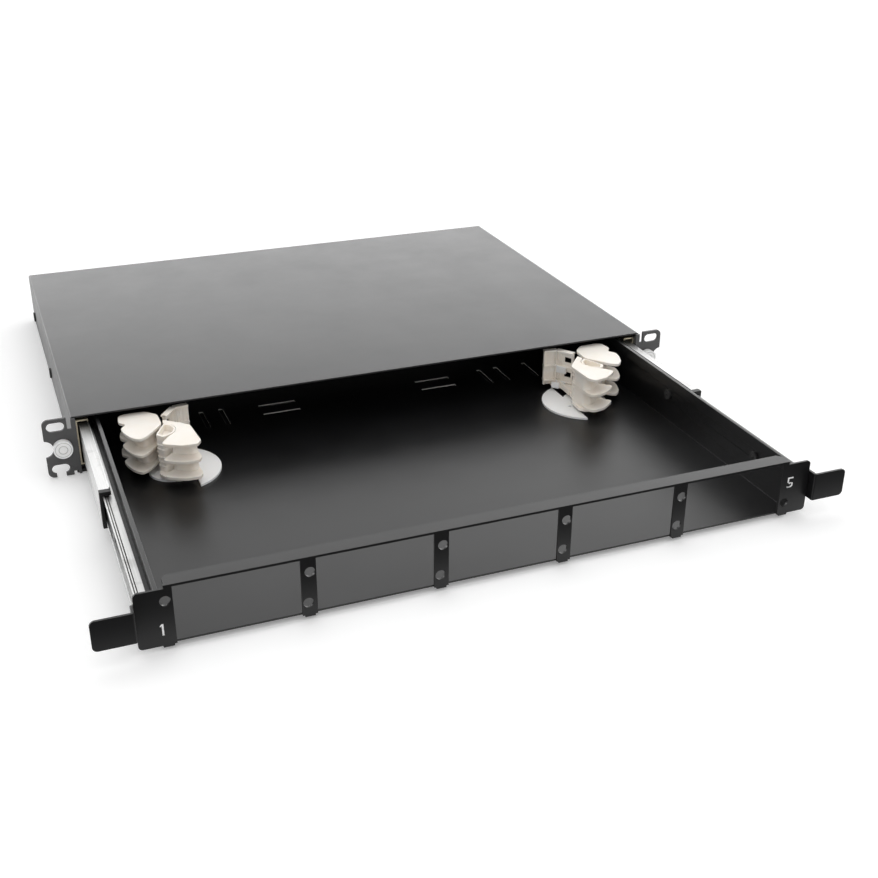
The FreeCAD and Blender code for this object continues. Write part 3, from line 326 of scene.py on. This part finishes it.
def finish_nodes():
    """Paints every CAD node from its slot and softens its edges."""
    slots = {entry["node"]: entry["material_slot"] for entry in frame["record"]["subparts"]}
    for name, node in NODES.items():
        look = "yellow_zinc" if name.startswith("slide_outer") else slots[name]
        node.data.materials.clear()
        node.data.materials.append(MATERIALS[look])
        smooth(node.data)
        weld = node.modifiers.new("weld", "WELD")
        weld.merge_threshold = WELD_REACH
        width = next((value for start, value in BEVELS.items() if name.startswith(start)),
                     OTHER_BEVEL)
        soften(node, width, **NODE_EDGES)


# Pieces added to the solids

def to_object(name, bm):
    mesh = bpy.data.meshes.new(name)
    bm.normal_update()
    bm.to_mesh(mesh)
    bm.free()
    thing = bpy.data.objects.new(name, mesh)
    bpy.context.scene.collection.objects.link(thing)
    return thing


def join_piece(name, bm, material, body):
    """A dressed piece that rides on a body."""
    piece = to_object(name, bm)
    smooth(piece.data)
    piece.data.materials.append(MATERIALS[material])
    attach(piece, body)
    return piece


def join_solid(name, bm, material, body):
    """The same for closed forms, whose faces are turned outwards first."""
    bmesh.ops.recalc_face_normals(bm, faces=bm.faces)
    return join_piece(name, bm, material, body)


def add_skin(bm, loops):
    """Walls from one loop of corners to the next, with both ends closed."""
    count = len(loops[0])
    for lower, upper in zip(loops, loops[1:]):
        for index in range(count):
            after = (index + 1) % count
            bm.faces.new((lower[index], lower[after], upper[after], upper[index]))
    bm.faces.new(list(reversed(loops[0])))
    bm.faces.new(loops[-1])


def add_tube(bm, outer_low, outer_high, inner_low, inner_high):
    """A ring of wall between its four loops of corners, open in the middle."""
    count = len(outer_low)
    for index in range(count):
        after = (index + 1) % count
        for first, second in ((outer_low, outer_high), (inner_high, inner_low),
                              (outer_high, inner_high), (inner_low, outer_low)):
            bm.faces.new((first[index], first[after], second[after], second[index]))


# Floor, backdrop and light

FLOOR_DARK = (0.90, 0.90, 0.90)
FLOOR_LIGHT = (0.93, 0.93, 0.93)
FLOOR_GRAIN = 3.0
FLOOR_ROUGH = 0.8
FLOOR_REACH = 12.0
FLOOR_GAP = 0.0003
FLOOR_LIFT = 0.20
# Painted reflection: the span in y where the floor turns black for gloss rays, and how far it goes.
PAINTED_REFLECTION_FRONT = (-0.240, -0.275)
PAINTED_REFLECTION_SHARE = 0.97
WORLD_LEVEL = 0.76
GLOSS_LOW = 4.0
GLOSS_MIDDLE = 1.2
GLOSS_TOP = 0.6
GLOSS_FRONT = 0.28
LOW_BAND = (0.26, 0.44)
TOP_BAND = (0.50, 0.80)
FRONT_BAND = (-0.6, 0.1)
SUN_LEVEL = 0.72
SUN_ANGLE = math.radians(70)
SUN_AIM = (-0.25, -0.15, -1.0)


def make_stage():
    """White floor that keeps the soft shadow. For gloss rays it is painted black in front of the
    drawer: a painted dark reflection on the drawer's black front.
    """
    bm = bmesh.new()
    level = CAD_BOX[0].z - FLOOR_GAP
    bm.faces.new([bm.verts.new((x * FLOOR_REACH, y * FLOOR_REACH, level)) for x, y in SQUARE])
    floor = to_object("floor", bm)
    material, tree, shader = new_material("floor")
    places = object_places(tree)
    tone = blend_colours(tree, noise(tree, places, FLOOR_GRAIN), FLOOR_DARK, FLOOR_LIGHT)
    parts = tree.nodes.new("ShaderNodeSeparateXYZ")
    tree.links.new(places, parts.inputs["Vector"])
    path = tree.nodes.new("ShaderNodeLightPath")
    dark = combined(tree, "MULTIPLY",
                    spread(tree, parts.outputs["Y"], PAINTED_REFLECTION_FRONT, (0.0, PAINTED_REFLECTION_SHARE)),
                    path.outputs["Is Glossy Ray"])
    tree.links.new(blend_colours(tree, dark, tone, BLACK), shader.inputs["Base Color"])
    shader.inputs["Roughness"].default_value = FLOOR_ROUGH
    shader.inputs["Emission Color"].default_value = WHITE
    lift = combined(tree, "MULTIPLY", seen_share(tree), FLOOR_LIFT)
    bright = spread(tree, dark, (0.0, 1.0), (1.0, 0.0))
    tree.links.new(combined(tree, "MULTIPLY", lift, bright), shader.inputs["Emission Strength"])
    floor.data.materials.append(material)


def seen_share(tree):
    """Is 1 for rays from the camera, in gloss and through clear things."""
    path = tree.nodes.new("ShaderNodeLightPath")
    share = path.outputs["Is Camera Ray"]
    for kind in ("Is Glossy Ray", "Is Transmission Ray"):
        share = combined(tree, "MAXIMUM", share, path.outputs[kind])
    return share


def make_world():
    """Even light on dull surfaces, white for the camera, and a room in gloss.

    The room is brightest low at the back, and darker overhead and in front.
    """
    world = bpy.data.worlds.new("studio")
    bpy.context.scene.world = world
    world.use_nodes = True
    tree = world.node_tree
    tree.nodes.clear()
    output = tree.nodes.new("ShaderNodeOutputWorld")
    light = tree.nodes.new("ShaderNodeBackground")
    light.inputs["Color"].default_value = WHITE
    light.inputs["Strength"].default_value = WORLD_LEVEL
    seen = tree.nodes.new("ShaderNodeBackground")
    seen.inputs["Color"].default_value = WHITE
    places = tree.nodes.new("ShaderNodeTexCoord")
    parts = tree.nodes.new("ShaderNodeSeparateXYZ")
    tree.links.new(places.outputs["Generated"], parts.inputs["Vector"])
    low_band = spread(tree, parts.outputs["Z"], LOW_BAND, (GLOSS_LOW, GLOSS_MIDDLE))
    overhead = spread(tree, parts.outputs["Z"], TOP_BAND, (1.0, GLOSS_TOP))
    front = spread(tree, parts.outputs["Y"], FRONT_BAND, (GLOSS_FRONT, 1.0))
    glow = combined(tree, "MULTIPLY", combined(tree, "MULTIPLY", low_band, overhead), front)
    path = tree.nodes.new("ShaderNodeLightPath")
    camera = tree.nodes.new("ShaderNodeMix")
    camera.data_type = "FLOAT"
    tree.links.new(path.outputs["Is Camera Ray"], camera.inputs[0])
    tree.links.new(glow, camera.inputs[2])
    camera.inputs[3].default_value = 1.0
    tree.links.new(camera.outputs[0], seen.inputs["Strength"])
    mix = tree.nodes.new("ShaderNodeMixShader")
    tree.links.new(seen_share(tree), mix.inputs["Fac"])
    tree.links.new(light.outputs["Background"], mix.inputs[1])
    tree.links.new(seen.outputs["Background"], mix.inputs[2])
    tree.links.new(mix.outputs["Shader"], output.inputs["Surface"])


def make_lights():
    """One broad soft sun from above, a little to the right and the back."""
    data = bpy.data.lights.new("sun", "SUN")
    data.energy = SUN_LEVEL
    data.angle = SUN_ANGLE
    light = bpy.data.objects.new("sun", data)
    bpy.context.scene.collection.objects.link(light)
    light.rotation_mode = "QUATERNION"
    light.rotation_quaternion = Vector(SUN_AIM).to_track_quat("-Z", "Y")


# Position numbers. Sizes in mm.

DIGIT_HEIGHT = 7.4
DIGIT_STROKE = 1.05
DIGIT_WIDTH = 4.4
DIGIT_MIDDLES = {"left": (-202.5, 13.5), "right": (202.4, 25.7)}
DIGIT_PROUD = 0.04
DIGIT_INSET = 0.2
DIGIT_WAIST = 0.58


def digit_outline(digit):
    """Bars of a plain digit, from its lower left corner."""
    h, w, t = DIGIT_HEIGHT, DIGIT_WIDTH, DIGIT_STROKE
    if digit == "1":
        left, right = w / 2 - t / 2, w / 2 + t / 2
        flag = w / 2 - t * 1.4
        return [[(left, 0), (right, 0), (right, h), (left, h)],
                [(left, h), (flag, h - t * 0.9), (flag, h - t * 1.7), (left, h - t * 1.1)]]
    waist = h * DIGIT_WAIST
    left, stem = DIGIT_INSET, DIGIT_INSET + t
    return [[(left, h - t), (w, h - t), (w, h), (left, h)],
            [(left, waist - t * 0.6), (stem, waist - t * 0.6), (stem, h - t), (left, h - t)],
            [(stem, waist - t * 0.6), (w - t * 0.9, waist - t * 0.6), (w - t * 0.2, waist - t),
             (w, waist - t * 1.6), (w, t * 1.5), (w - t * 0.2, t * 0.8), (w - t * 1.2, 0),
             (0, 0), (0, t), (w - t * 1.6, t), (w - t, t * 1.6), (w - t, waist - t * 1.9),
             (w - t * 1.4, waist - t * 1.6), (stem, waist - t * 1.6)]]


def make_digits():
    """Printed digits, a hair proud of the ears' faces."""
    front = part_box("front_frame")[0].y - DIGIT_PROUD * MM
    for digit, (hand, (middle, level)) in zip("15", DIGIT_MIDDLES.items()):
        left, bottom = middle - DIGIT_WIDTH / 2, level - DIGIT_HEIGHT / 2
        bm = bmesh.new()
        for bar in digit_outline(digit):
            corners = [bm.verts.new(((left + x) * MM, front, (bottom + z) * MM))
                       for x, z in bar]
            bmesh.ops.triangulate(bm, faces=[bm.faces.new(corners)])
        join_piece("position_number_" + hand, bm, "white_ink", "tray")


# Slide balls, and dark strips of painted shade along the slides' raceways. Sizes in mm.

BALL_RADIUS = 1.38
BALL_COUNT = 3
BALL_END = 4.2
BALL_DROP = 0.3
BALL_FACES = (20, 12)
CAGE_THICK = 1.4
GROOVE_SHADE_LINES = ((212.0, 0.35), (213.4, 0.30))
GROOVE_SHADE_END = 3
GROOVE_SHADE_DROP = 0.9
THIN_SKIN = 0.03
SKIN_ROOT = 0.1


def make_balls():
    """Steel balls along both edges of each cage."""
    for which in ("outer", "inner"):
        for side, hand in SIDES:
            low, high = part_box("ball_cage_%s_%s" % (which, hand))
            near = low.x if side > 0 else high.x
            reach = near + side * CAGE_THICK / 2 * MM
            level = (high.z - low.z) / 2 - BALL_DROP * MM
            middle = (high.z + low.z) / 2
            first, last = low.y + BALL_END * MM, high.y - BALL_END * MM
            bm = bmesh.new()
            for index in range(BALL_COUNT):
                y = first + (last - first) * index / (BALL_COUNT - 1)
                for up in (-1, 1):
                    place = Matrix.Translation((reach, y, middle + up * level))
                    bmesh.ops.create_uvsphere(bm, u_segments=BALL_FACES[0],
                                              v_segments=BALL_FACES[1],
                                              radius=BALL_RADIUS * MM, matrix=place)
            join_piece("slide_balls_%s_%s" % (which, hand), bm, "zinc",
                       "%s_balls_%s" % (which, hand))


def make_groove_shade():
    """Painted shade: dark strips along the inner members, in the raceway groove and beside the lip.
    """
    for side, hand in SIDES:
        low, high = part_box("slide_inner_" + hand)
        ends = {-1: low.y + GROOVE_SHADE_END * MM, 1: high.y - GROOVE_SHADE_END * MM}
        level = high.z - GROOVE_SHADE_DROP * MM
        bm = bmesh.new()
        for reach, half in GROOVE_SHADE_LINES:
            add_skin(bm, [[bm.verts.new((side * (reach + sx * half) * MM, ends[sy],
                                         level + lift * MM)) for sx, sy in SQUARE]
                          for lift in (-SKIN_ROOT, THIN_SKIN)])
        join_solid("slide_groove_shade_" + hand, bm, "painted_groove_shade", "tray")


# Cable tie slots of the drawer's floor. Sizes in mm.

SLOT_LENGTH = 29.0
SLOT_WIDTH = 3.4
SLOT_ROWS = (54.1, 38.0)
SLOT_MIDDLE = 64.5
LONG_SLOTS = (107.7, 122.8, 148.4)
LONG_SLOT_ROW = 45.5
SHEET_TOP = 4.25
SHEET_LOW = 3.05
EDGE_SKIN = 0.06


def add_slot_edge(bm, x, y, half_x, half_y):
    """Pale band of painted light on the four walls of a punched slot."""
    add_tube(bm, *([bm.verts.new(((x + sx * (half_x - inset)) * MM,
                                  (y + sy * (half_y - inset)) * MM, z * MM))
                    for sx, sy in SQUARE]
                   for inset in (0.0, EDGE_SKIN)
                   for z in (SHEET_LOW + EDGE_SKIN, SHEET_TOP - EDGE_SKIN)))


# Painted light along the tie slots of the drawer's floor.
def make_slot_edges():
    bm = bmesh.new()
    for side in (-1, 1):
        for row in SLOT_ROWS:
            add_slot_edge(bm, SLOT_MIDDLE * side, row, SLOT_LENGTH / 2, SLOT_WIDTH / 2)
        for reach in LONG_SLOTS:
            add_slot_edge(bm, reach * side, LONG_SLOT_ROW, SLOT_WIDTH / 2, SLOT_LENGTH / 2)
    join_solid("slot_painted_light_bands", bm, "painted_slot_light", "tray")


# Fibre guides. Local places in mm from the middle of a guide's plate, x outwards, y to the rear.

GUIDE_MIDDLE = (160.0, -29.0)
LEAF_LEVELS = (10.3, 22.65, 34.95)
LEAF_THICK = 2.2
GUIDE_LOW = 8.0
GUIDE_TOP = LEAF_LEVELS[-1] + LEAF_THICK
CORNER_STEPS = 5
CORNER_LIMIT = 0.46
SPOOL_STEPS = 8
HINGE = (3.0, 12.0)
KNUCKLE_RADIUS = 3.4
WEB_THICK = 3.6

RUNNER_TURN = {"left": -4.0, "right": 4.0}
RUNNER = ((-14.2, -1.0), (-14.6, -27.0), (-11.2, -31.8), (-1.0, -30.4), (9.8, -23.2),
          (10.2, -20.6), (3.6, -12.6), (-1.8, -8.0), (-4.4, -1.6), (-2.6, 5.2), (2.2, 9.4),
          (1.0, 15.0), (-4.6, 9.4), (-9.4, 4.6))
RUNNER_CORNER = 1.6
LOW_RUNNER = ((-13.6, -1.0), (-14.6, -27.0), (-11.2, -31.8), (-1.0, -30.4), (9.8, -23.2),
              (10.2, -20.6), (2.0, -13.0), (-2.6, -8.0), (-4.6, 1.0))
LOW_RUNNER_CORNER = 3.0
RUNNER_WALL = ((-9.6, 0.6), (-13.4, -6.0), (-13.8, -19.5), (-9.0, -21.8), (-3.0, -18.6),
               (2.0, -14.9), (1.2, -9.6), (-3.2, -2.2))
RUNNER_WALL_CORNER = 2.2
RUNNER_FLARE = 0.07
RUNNER_EDGE = 0.3
RUNNER_KNUCKLE_TOP = 15.0
RUNNER_KNUCKLE_SIDES = 40
RUNNER_WEB_END = (-4.0, 4.0)
RUNNER_WEB_TOP = 14.4

COLUMN = ((-9.4, 4.4), (-2.8, 8.6), (2.2, 8.8), (7.5, -1.6), (10.4, -7.6), (6.6, -12.8),
          (-1.8, -9.2), (-9.4, -3.0))
COLUMN_CORNER = 1.8
COLUMN_RIBS = (13.6, 17.0, 20.4, 26.2, 29.6)
COLUMN_RIB_TALL = 1.1
COLUMN_RIB_GROW = 1.045
POCKET_RIM = ((-4.2, -1.8), (-2.2, 5.2), (2.2, 8.8), (7.5, -1.6), (10.4, -7.6), (6.6, -12.8),
              (-1.6, -8.2))
POCKET_CORNER = 1.2
POCKET_INSIDE = 0.80
POCKET_FLOOR = 32.6
POCKET_OVERLAP = 0.4
FOOT = ((-14.6, 26.6), (-9.8, 23.2), (-8.8, 10.4), (-10.4, 0.0), (-14.8, -8.0),
        (-15.2, -21.0), (-11.0, -24.6), (0.6, -25.0), (8.0, -20.4), (11.4, -13.0), (8.0, -1.8),
        (2.6, 8.6), (1.4, 15.6), (-0.4, 22.4), (-8.2, 34.0), (-13.6, 34.6))
FOOT_CORNER = 1.6
FOOT_LOW = 7.95

ARM = ((3.6, 9.0), (10.8, -0.4), (16.4, -7.6), (21.8, -11.3), (26.8, -6.2), (30.2, 3.0),
       (31.4, 10.6), (26.6, 15.8), (31.4, 21.0), (30.0, 31.6), (25.0, 33.6), (11.0, 32.8),
       (3.8, 25.0))
ARM_CORNER = 2.8
ARM_WALL = ((8.6, 9.0), (12.5, 4.0), (17.0, 1.5), (21.0, 5.0), (23.0, 10.0), (21.5, 16.0),
            (23.0, 22.0), (21.0, 27.5), (12.4, 27.5), (8.4, 21.0))
ARM_WALL_CORNER = 2.6
ARM_FLARE = 0.12
ARM_EDGE = 0.35
ARM_KNUCKLE = (15.6, 32.0)
ARM_KNUCKLE_SIDES = 32
ARM_WEB = (16.0, 31.6)
ARM_WEB_END = (10.0, 14.0)

LADDER = ((-19.2, 35.4), (-8.6, 33.8), (0.0, 21.2))
LADDER_TOP = GUIDE_TOP - 0.4
PANEL_THICK = 1.0
BAR_THICK = 0.9
RAIL_WIDE = 4.6
RAIL_THICK = 1.5
POST_WIDE = 4.4
END_POST_WIDE = 2.6
POST_LONG = 1.3
WINDOW_SHARES = (0.50, 0.94)
WINDOW_RISES = (3.2, 7.4)
PANEL_RIBS = (0.16, 0.27, 0.38)
NEAR_RIB = (0.03, 2.4)
FAR_RIB = (0.05, 2.0)
RIB_TOP = GUIDE_TOP - 0.5
SILLS = (((-9.0, 8.6), (-8.6, 32.6)), (LADDER[2], (-1.0, 12.0)))
SILL_THICK = 1.4

CLIP_SHARES = (0.14, 0.68)
CLIP_OFF = 2.4
CLIP_TALL = 5.3
CLIP_DROP = 0.3
CLIP_THICK = 1.8
CLIP_RIBS = 5
CLIP_RIB = (0.03, 0.13)
CLIP_RIB_THICK = 2.9
CLIP_RIB_DROP = 0.9
CLIP_EDGE = 0.15
BASE_CLIP = ((-15.0, 27.4), (-10.6, 23.2))
BASE_CLIP_TOP = 12.4


def rounded(corners, radius):
    """The outline with each corner turned into a short curve."""
    result = []
    count = len(corners)
    for index in range(count):
        corner = Vector(corners[index])
        before = Vector(corners[index - 1]) - corner
        after = Vector(corners[(index + 1) % count]) - corner
        start = corner + before.normalized() * min(radius, before.length * CORNER_LIMIT)
        finish = corner + after.normalized() * min(radius, after.length * CORNER_LIMIT)
        for step in range(CORNER_STEPS + 1):
            t = step / CORNER_STEPS
            place = start * (1 - t) ** 2 + corner * 2 * t * (1 - t) + finish * t ** 2
            result.append((place.x, place.y))
    return result


def turned(corners, degrees):
    angle = math.radians(degrees)
    return [(x * math.cos(angle) - y * math.sin(angle), x * math.sin(angle) + y * math.cos(angle))
            for x, y in corners]


def scaled(corners, share):
    """The outline, larger or smaller around its middle."""
    middle = sum((Vector(corner) for corner in corners), Vector((0, 0))) / len(corners)
    return [tuple(middle + (Vector(corner) - middle) * share) for corner in corners]


def between(start, finish, share):
    return (start[0] + (finish[0] - start[0]) * share, start[1] + (finish[1] - start[1]) * share)


def knuckle(sides):
    """Circle around a guide's hinge."""
    turns = (math.tau * index / sides for index in range(sides))
    return [(HINGE[0] + KNUCKLE_RADIUS * math.cos(turn), HINGE[1] + KNUCKLE_RADIUS * math.sin(turn))
            for turn in turns]


def guide_loop(bm, side, corners, z):
    return [bm.verts.new((side * (GUIDE_MIDDLE[0] + x) * MM, (GUIDE_MIDDLE[1] + y) * MM, z * MM))
            for x, y in corners]


def add_plate(bm, side, corners, low, high):
    add_skin(bm, [guide_loop(bm, side, corners, z) for z in (low, high)])


def add_spool(bm, side, corners, low, high, flare):
    """A wall that is waisted between two leaves."""
    loops = []
    for step in range(SPOOL_STEPS + 1):
        t = step / SPOOL_STEPS
        grow = 1.0 + flare * abs(2 * t - 1) ** 3
        loops.append(guide_loop(bm, side, scaled(corners, grow), low + (high - low) * t))
    add_skin(bm, loops)


def add_strip(bm, side, start, finish, width, low, high):
    """A straight upright wall between two places."""
    start, finish = Vector(start), Vector(finish)
    run = finish - start
    off = Vector((-run.y, run.x)).normalized() * width / 2
    add_plate(bm, side, [start + off, finish + off, finish - off, start - off], low, high)


def make_runner(side, hand):
    """Turning half of a guide: three leaves set on a wall, a pocket, a column and a ladder."""
    bm = bmesh.new()
    angle = RUNNER_TURN[hand]
    top_leaf = rounded(turned(RUNNER, angle), RUNNER_CORNER)
    low_leaf = rounded(turned(LOW_RUNNER, angle), LOW_RUNNER_CORNER)
    for level, leaf in zip(LEAF_LEVELS, (low_leaf, low_leaf, top_leaf)):
        add_plate(bm, side, leaf, level, level + LEAF_THICK)
    wall = rounded(turned(RUNNER_WALL, angle), RUNNER_WALL_CORNER)
    for low, high in zip(LEAF_LEVELS, LEAF_LEVELS[1:]):
        add_spool(bm, side, wall, low + LEAF_THICK, high, RUNNER_FLARE)
    column = rounded(COLUMN, COLUMN_CORNER)
    add_plate(bm, side, column, GUIDE_LOW, POCKET_FLOOR)
    for level in COLUMN_RIBS:
        add_plate(bm, side, scaled(column, COLUMN_RIB_GROW), level, level + COLUMN_RIB_TALL)
    rim = rounded(POCKET_RIM, POCKET_CORNER)
    add_tube(bm, *(guide_loop(bm, side, corners, z) for corners in (rim, scaled(rim, POCKET_INSIDE))
                   for z in (POCKET_FLOOR - POCKET_OVERLAP, GUIDE_TOP)))
    add_ladder(bm, side)
    add_plate(bm, side, rounded(FOOT, FOOT_CORNER), FOOT_LOW, LEAF_LEVELS[0])
    add_plate(bm, side, knuckle(RUNNER_KNUCKLE_SIDES), GUIDE_LOW, RUNNER_KNUCKLE_TOP)
    add_strip(bm, side, HINGE, RUNNER_WEB_END, WEB_THICK, GUIDE_LOW, RUNNER_WEB_TOP)
    piece = join_solid("guide_runner_" + hand, bm, "cream_plastic", "hub_" + hand)
    soften(piece, RUNNER_EDGE, **PIECE_EDGES)
    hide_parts("guide_hub_" + hand, "guide_pin_" + hand)


def add_ladder(bm, side):
    """Panel behind the leaves: a plain end, a windowed run, and rails at each tier."""
    end, bend, near = LADDER
    first, last = (between(bend, near, share) for share in WINDOW_SHARES)
    for start, finish in ((end, bend), (bend, first), (last, near)):
        add_strip(bm, side, start, finish, PANEL_THICK, GUIDE_LOW, LADDER_TOP)
    bars = [GUIDE_LOW]
    for level in LEAF_LEVELS[:-1]:
        bars += [level + LEAF_THICK + rise for rise in WINDOW_RISES]
    bars.append(LADDER_TOP)
    for bottom, top in zip(bars[::2], bars[1::2]):
        add_strip(bm, side, first, last, BAR_THICK, bottom, top)
    for level in LEAF_LEVELS:
        for start, finish in ((end, bend), (bend, near)):
            add_strip(bm, side, start, finish, RAIL_WIDE, level + LEAF_THICK - RAIL_THICK,
                      level + LEAF_THICK)
    for place, ahead, wide in ((end, bend, END_POST_WIDE), (bend, near, POST_WIDE),
                               (near, bend, END_POST_WIDE)):
        post = between(place, ahead, POST_LONG / (Vector(ahead) - Vector(place)).length)
        add_strip(bm, side, place, post, wide, GUIDE_LOW, GUIDE_TOP)
    for share in PANEL_RIBS:
        for start, finish, place, (long, wide) in ((bend, near, share, NEAR_RIB),
                                                   (end, bend, share * 2, FAR_RIB)):
            add_strip(bm, side, between(start, finish, place),
                      between(start, finish, place + long), wide, GUIDE_LOW, RIB_TOP)
    for start, finish in SILLS:
        add_strip(bm, side, start, finish, SILL_THICK, GUIDE_LOW, LEAF_LEVELS[0] + LEAF_THICK)


def add_clip(bm, side, start, finish, bottom, top):
    """Ribbed block."""
    add_strip(bm, side, start, finish, CLIP_THICK, bottom, top)
    for part in range(CLIP_RIBS):
        edges = (between(start, finish, part / CLIP_RIBS + share) for share in CLIP_RIB)
        add_strip(bm, side, *edges, CLIP_RIB_THICK, bottom, top - CLIP_RIB_DROP)


def make_clips(side, hand):
    """White ribbed clips under the ladder's rails and one at its foot."""
    bm = bmesh.new()
    bend, near = LADDER[1:]
    run = Vector(near) - Vector(bend)
    off = Vector((run.y, -run.x)).normalized() * CLIP_OFF
    start, finish = (tuple(Vector(between(bend, near, share)) + off) for share in CLIP_SHARES)
    for level in LEAF_LEVELS[:-1]:
        top = level + LEAF_THICK - CLIP_DROP
        add_clip(bm, side, start, finish, max(top - CLIP_TALL, GUIDE_LOW), top)
    add_clip(bm, side, *BASE_CLIP, GUIDE_LOW, BASE_CLIP_TOP)
    piece = join_solid("guide_clips_" + hand, bm, "white_plastic", "hub_" + hand)
    soften(piece, CLIP_EDGE, **PIECE_EDGES)


def make_arm(side, hand):
    """Swinging half of a guide: three two-lobed leaves on a waisted wall."""
    bm = bmesh.new()
    leaf = rounded(ARM, ARM_CORNER)
    wall = rounded(ARM_WALL, ARM_WALL_CORNER)
    for level in LEAF_LEVELS:
        add_plate(bm, side, leaf, level, level + LEAF_THICK)
    for low, high in zip(LEAF_LEVELS, LEAF_LEVELS[1:]):
        add_spool(bm, side, wall, low + LEAF_THICK, high, ARM_FLARE)
    add_plate(bm, side, knuckle(ARM_KNUCKLE_SIDES), *ARM_KNUCKLE)
    add_strip(bm, side, HINGE, ARM_WEB_END, WEB_THICK, *ARM_WEB)
    piece = join_solid("guide_wing_" + hand, bm, "cream_plastic", "arm_" + hand)
    soften(piece, ARM_EDGE, **PIECE_EDGES)
    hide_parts("guide_arm_" + hand)


def make_guides():
    for side, hand in SIDES:
        make_runner(side, hand)
        make_clips(side, hand)
        make_arm(side, hand)


# Painted shade: grey rings on the bracket plugs and dark crosses for the screws' recesses. Sizes in
# mm.

PLUG_RINGS = ((5.3, 0.22), (2.9, 0.30))
RING_PROUD = 0.04
RING_STEPS = 48
CROSS_REACH = 1.55
CROSS_HALF = 0.33
CROSS_TAPER = 0.7
WALL_SCREWS = (-189.4, -78.4)
WALL_SCREW_FACE = 202.4
SIDE_SCREWS = (166.0, 304.0)


def make_plug_ring(hand):
    """Grey rings a hair proud of the plug's face: painted shade along its circular edges."""
    low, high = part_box("bracket_plug_" + hand)
    middle_x, middle_z = (low.x + high.x) / 2, (low.z + high.z) / 2
    bm = bmesh.new()
    for radius, half in PLUG_RINGS:
        profile = ((-half, SKIN_ROOT), (-half, -RING_PROUD), (half, -RING_PROUD),
                   (half, SKIN_ROOT))
        rings = []
        for index in range(RING_STEPS):
            turn = math.tau * index / RING_STEPS
            rings.append([bm.verts.new((middle_x + (radius + reach) * MM * math.cos(turn),
                                        low.y + depth * MM,
                                        middle_z + (radius + reach) * MM * math.sin(turn)))
                          for reach, depth in profile])
        for ring, after in zip(rings, rings[1:] + rings[:1]):
            for index in range(len(profile)):
                step = (index + 1) % len(profile)
                bm.faces.new((ring[index], ring[step], after[step], after[index]))
    join_solid("plug_ring_" + hand, bm, "painted_plug_shade", "chassis")


def add_cross(bm, face_x, outwards, y, z):
    """Cross recess of a screw head, drawn as a thin dark star on its face: painted shade in place
    of the recess.
    """
    tip = CROSS_HALF * CROSS_TAPER
    corners = []
    for turn in range(4):
        angle = math.tau * turn / 4
        for along, across in ((CROSS_HALF, CROSS_HALF), (CROSS_REACH, tip), (CROSS_REACH, -tip)):
            corners.append((along * math.cos(angle) + across * math.sin(angle),
                            along * math.sin(angle) - across * math.cos(angle)))
    add_skin(bm, [[bm.verts.new((face_x + outwards * depth * MM, y + b * MM, z + c * MM))
                   for b, c in corners] for depth in (-SKIN_ROOT, THIN_SKIN)])


def make_crosses():
    """Crosses of painted shade for the screws inside the drawer's walls and outside the chassis."""
    wall_low, wall_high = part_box("wall_screws")
    side_low, side_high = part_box("side_screws")
    wall_level = (wall_low.z + wall_high.z) / 2
    side_level = (side_low.z + side_high.z) / 2
    for name, body, face_x, outwards, rows, level in (
            ("wall_screw_crosses", "tray", WALL_SCREW_FACE * MM, -1, WALL_SCREWS, wall_level),
            ("side_screw_crosses", "chassis", side_high.x, 1, SIDE_SCREWS, side_level)):
        bm = bmesh.new()
        for side in (-1, 1):
            for y in rows:
                add_cross(bm, side * face_x, side * outwards, y * MM, level)
        join_solid(name, bm, "black_plastic", body)


make_camera()
make_stage()
make_world()
make_lights()
finish_nodes()
make_digits()
make_balls()
make_slot_edges()
make_guides()
for plug_hand in ("left", "right"):
    make_plug_ring(plug_hand)
make_crosses()
make_groove_shade()

bpy.context.scene.view_settings.view_transform = "Standard"
